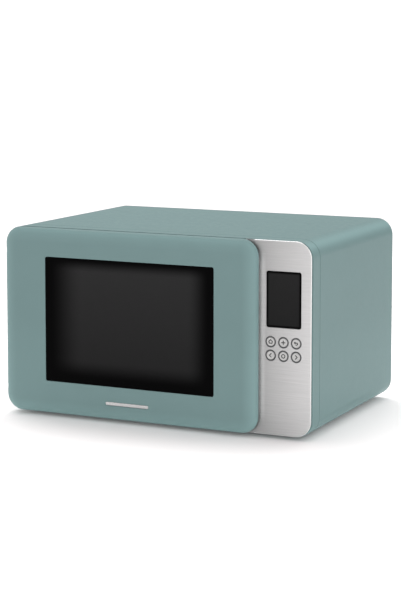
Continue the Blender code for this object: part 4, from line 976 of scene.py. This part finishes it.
def rear_sheet():
    """The rear sheet with its pressed pan, the fan's grille and the exhaust slots."""
    x, y, z = span("rear_panel")
    sheet_y = (CASE_Y[1] - 2.6, CASE_Y[1] - 1.6)
    pan_x, pan_z, pan_r, press, wall = (-222.0, 134.0), (21.0, 262.0), 18.0, 8.0, SHEET
    rear = y[1]
    inner = roll((press, rear - wall), (wall, rear - press), 8, False)
    inner += roll((wall, sheet_y[0] + 1.0), (0, sheet_y[0]), 4)
    outer = roll((-1.5, sheet_y[1]), (0, sheet_y[1] + 1.5), 4, False)
    outer += roll((0, rear - press), (press, rear), 8)
    loops = rings(pan_x, pan_z, pan_r, inner)
    loops += rings(x, z, CORNER_R - 1.3, [(0, sheet_y[0]), (0, sheet_y[1])])
    loops += rings(pan_x, pan_z, pan_r, outer)
    body = loft(loops)
    fan_x, _, fan_z = centre("fan_blade")
    gland_x, _, gland_z = centre("cord_gland")
    through = (sheet_y[0] - 5, sheet_y[1] + 5)
    grille = slot_row((fan_x - 31, fan_x + 31), through, (fan_z - 32.3, fan_z - 27.7), "Y", (0, 0, 10), 7)
    exhaust = slot_row((TABLE_X - 70, TABLE_X - 65), (rear - 5, rear + 5), (192, 232), "Y", (15, 0, 0), 10)
    hole = rod("Y", (gland_x, through[0], gland_z), 11, 8.4, 48)
    piece("rear_sheet", cut(body, grille, exhaust, hole, screw_holes(through[0], 11)), ["rear_panel"])


def rear_screws():
    """Pan-head screws with a cross recess."""
    for node in ("rear_screw_left", "rear_screw_right"):
        x, _, z = centre(node)
        tip, top = span(node)[1]
        head = CASE_Y[1] + GAP
        crown = top - head
        profile = [(0, crown), (1.4, crown - 0.08), (2.6, crown - 0.4), (3.5, crown - 1.0),
                   (4.0, crown - 1.7), (4.0, 0), (1.8, 0), (1.8, -9.0), (0, tip - head)]
        screw = turned("Y", (x, head, z), profile, 40)
        recess = join(*(box((x - wide, x + wide), (top - 1.1, top + 1), (z - high, z + high))
                        for wide, high in ((2.1, 0.45), (0.45, 2.1))))
        piece(node + "_fine", cut(screw, recess), [node])


def feet():
    """Rubber feet, each pushed through a hole in the base plate."""
    for node in ("foot_front_left", "foot_front_right", "foot_rear_left", "foot_rear_right"):
        x, y, _ = centre(node)
        under, over = CASE_Z[0] - GAP, CASE_Z[0] + SHEET + GAP
        profile = [(0, 0.5), (7.0, 0.5), (7.6, 0), (10.2, 0), (10.6, 0.4), (11.3, 2.4), (10.9, 2.6),
                   (11.4, 2.9), (12.0, under), (3.6, under), (3.6, over), (5.2, over), (3.4, over + 3.2),
                   (0, over + 4.0)]
        piece(node + "_fine", turned("Z", (x, y, 0), profile, 48), [node])


def cord_bush():
    """The gland's ribbed sleeve, with an empty bore."""
    x, _, z = centre("cord_gland")
    inner, rear = span("cord_gland")[1]
    outer = rear - 12
    profile = [(6.0, rear), (6.9, rear - 2.2), (6.3, rear - 2.6), (7.4, rear - 5.2), (6.9, rear - 5.6),
               (8.6, outer + 3.4), (11.6, outer + 3), (12.0, outer + 2.6), (12.0, outer), (7.9, outer),
               (7.9, inner), (4.0, inner), (4.0, rear - 0.6), (4.6, rear)]
    section = [(r, h - inner) for r, h in profile]
    piece("cord_bush", turned("Y", (x, inner, z), section, 48, ring=True), ["cord_gland"])


# -------- oven cavity


def bulkhead():
    """The enamelled plate round the cavity mouth, with the slots for the hinges and the hooks."""
    x, y, z = span("front_plate")
    mouth_x, mouth_z = (-209.0, 121.0), (33.5, 249.5)
    loops = rings(x, z, CORNER_R - 3.6, [(0, y[1]), (0, y[0])])
    loops += rings(mouth_x, mouth_z, 8.0, roll((-0.4, y[0]), (0, y[0] + 0.4), 3, False) + [(0, y[1])])
    body = loft(loops, closed=True)
    through = (y[0] - 5, y[1] + 5)
    bay_x, bay_z, hook_x = (162.0, 228.0), (34.0, 250.0), (136.5, 148.0)
    bay = loft(rings(bay_x, bay_z, 4.0, [(0, through[1]), (0, through[0])], 6))
    brackets = [box((span(node)[0][0] - 0.5, -228.1), through, grown(span(node)[2], 0.5))
                for node in ("hinge_bracket_upper", "hinge_bracket_lower")]
    hooks = [loft(rings(hook_x, (low - 5.0, low + 13.0), 1.5, [(0, through[1]), (0, through[0])], 4))
             for low in HOOK_BOTTOMS]
    piece("bulkhead", cut(body, bay, *brackets, *hooks), ["front_plate"])


def cavity():
    """The welded liner, with holes for the turntable's drive, the waveguide, the lamp and the air."""
    x, y, z = span("cavity_liner")
    wall, flange, corner = 0.8, 6.0, 8.0
    outer_x, outer_z = grown(x, -flange), grown(z, -flange)
    inner_x, inner_z = grown(outer_x, -wall), grown(outer_z, -wall)
    front, rear = y
    inside = roll((2.0, rear - wall), (0, rear - wall - 2.0), 4, False) + [(0, front)]
    outside = [(0, front + wall)] + roll((0, rear - 2.8), (2.8, rear), 4)
    loops = rings(inner_x, inner_z, corner, inside)
    loops += rings(x, z, corner + flange, [(0, front), (0, front + wall)])
    loops += rings(outer_x, outer_z, corner + wall, outside)
    body = loft(loops)
    right = (inner_x[1] - 4, inner_x[1] + 4)
    drive = rod("Z", (TABLE_X, TABLE_Y, inner_z[0] - 5), 10, 9.0, 48)
    port_y, port_z, lamp_y, lamp_z = (-45, 35), (130, 205), 100, 205
    port = box(right, port_y, port_z)
    lamp_holes = together([rod("X", (right[0], lamp_y + dy, lamp_z + dz), 8, 3.0, 24)
                           for dy in (-6, 6) for dz in (-6, 6)])
    air = slot_row((inner_x[0] - 4, inner_x[0] + 4), (68, 72), (185, 215), "X", (0, 10, 0), 5)
    piece("cavity_shell", cut(body, drive, port, lamp_holes, air), ["cavity_liner"])


def turntable():
    """The glass plate with its raised rim, and three lugs under it that the coupler drives."""
    x = span("glass_turntable")[0]
    low, thick, plate_r = 46.5, 5.0, (x[1] - x[0]) / 2
    rim = [(11.0, thick + 0.6), (7.6, 9.6), (6.0, 11.3), (3.6, 12.2), (2.0, 12.5), (0.7, 12.0), (0, 11.0),
           (0.8, 9.2), (3.7, 5.0), (7.0, 1.4), (9.5, 0.2), (11.0, 0)]
    profile = [(0, low + thick), (60, low + thick), (61, low + thick), (plate_r - 13.5, low + thick)]
    profile += [(plate_r - inward, low + up) for inward, up in rim] + [(0, low)]
    plate = turned("Z", (TABLE_X, TABLE_Y, 0), profile, 128)
    out, lug_z, length, lug_r = 12, 35.5, 12, 2.7
    lugs = [rod("Z", (TABLE_X + out * cos(angle), TABLE_Y + out * sin(angle), lug_z), length, lug_r, 24)
            for angle in thirds(pi / 3)]
    piece("turntable_glass", join(plate, *lugs), ["glass_turntable"])


def hoop(inner, outer, low, high, edge, edge_steps, steps):
    """A flat ring round the turntable's axis, with rounded edges."""
    section = softened([(outer, high), (outer, low), (inner, low), (inner, high)], edge, edge_steps, True)
    return turned("Z", (TABLE_X, TABLE_Y, 0), section, steps, True)


def roller_ring():
    """The ring with its hub, three spokes and three axles, and the wheels on them."""
    table = (TABLE_X, TABLE_Y)
    inner, outer, low, high = 86.0, 94.0, WHEEL_Z - 3.0, WHEEL_Z + 3.0
    ring = hoop(inner, outer, low, high, 0.8, 3, 96)
    hub = hoop(17.0, 21.0, low, low + 3, 0.4, 2, 48)
    shapes = []
    for turn in thirds(pi / 6):
        spoke = box((TABLE_X + 20, TABLE_X + inner + 1), (TABLE_Y - 3.5, TABLE_Y + 3.5),
                    (low + 0.3, low + 2.7), 0.4)
        shapes.append(turned_about(spoke, turn, table))
    cap = TRACK_R + WHEEL_HALF + 0.5
    for turn in thirds(pi / 2):
        for start, end, radius in ((outer - 1, cap + 1, 2.0), (cap, cap + 1.6, 3.4)):
            profile = softened([(0, 0), (radius, 0), (radius, end - start), (0, end - start)], 0.3, 2)
            stub = turned("X", (TABLE_X + start, TABLE_Y, WHEEL_Z), profile, 24)
            shapes.append(turned_about(stub, turn, table))
    piece("roller_support", join(ring, hub, *shapes), ["roller_ring"])
    width, bore_r = 2 * WHEEL_HALF, 2.3
    section = softened([(WHEEL_R, 0), (WHEEL_R, width), (bore_r, width), (bore_r, 0)], 0.7, 3, True)
    for number, turn in enumerate(thirds(pi / 2), 1):
        wheel = turned("X", (TABLE_X + TRACK_R - WHEEL_HALF, TABLE_Y, WHEEL_Z), section, 48, True)
        piece(f"wheel_{number}", turned_about(wheel, turn, table), [f"roller_{number}"])


def lift_spring():
    """The latch slider's coil, on its own copy of the CAD mesh; it runs from the door's lug down to the
    slider.
    """
    coil = bpy.data.objects.new("lift_spring", frame["nodes"]["latch_spring"].data.copy())
    bpy.context.scene.collection.objects.link(coil)
    piece("lift_spring", coil, ["latch_spring"])
    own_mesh(coil)


for build in (casing, front_ring, steel_panel, key_rings, keys, display, door_skin, door_badge, door_glass,
              door_back, rear_sheet, rear_screws, feet, cord_bush, bulkhead, cavity, turntable, roller_ring,
              lift_spring):
    build()

# -------- the CAD nodes that stay

SOFT_EDGED = ("latch_hook", "latch_board", "hinge_bracket_upper", "hinge_bracket_lower", "drive_coupler",
              "base_plate")
for name, node in frame["nodes"].items():
    if node.hide_render:
        continue
    material = MATERIALS[SLOT_OF[name]] if name != "door_shield" else perforated_steel()
    node.data.materials.clear()
    node.data.materials.append(material)
    if name in SOFT_EDGED:
        weld = node.modifiers.new("weld", "WELD")
        weld.merge_threshold = 0.01 * MM
        bevel = node.modifiers.new("bevel", "BEVEL")
        bevel.width = 0.25 * MM
        bevel.segments = 2
        bevel.limit_method = "ANGLE"
        bevel.angle_limit = radians(35)
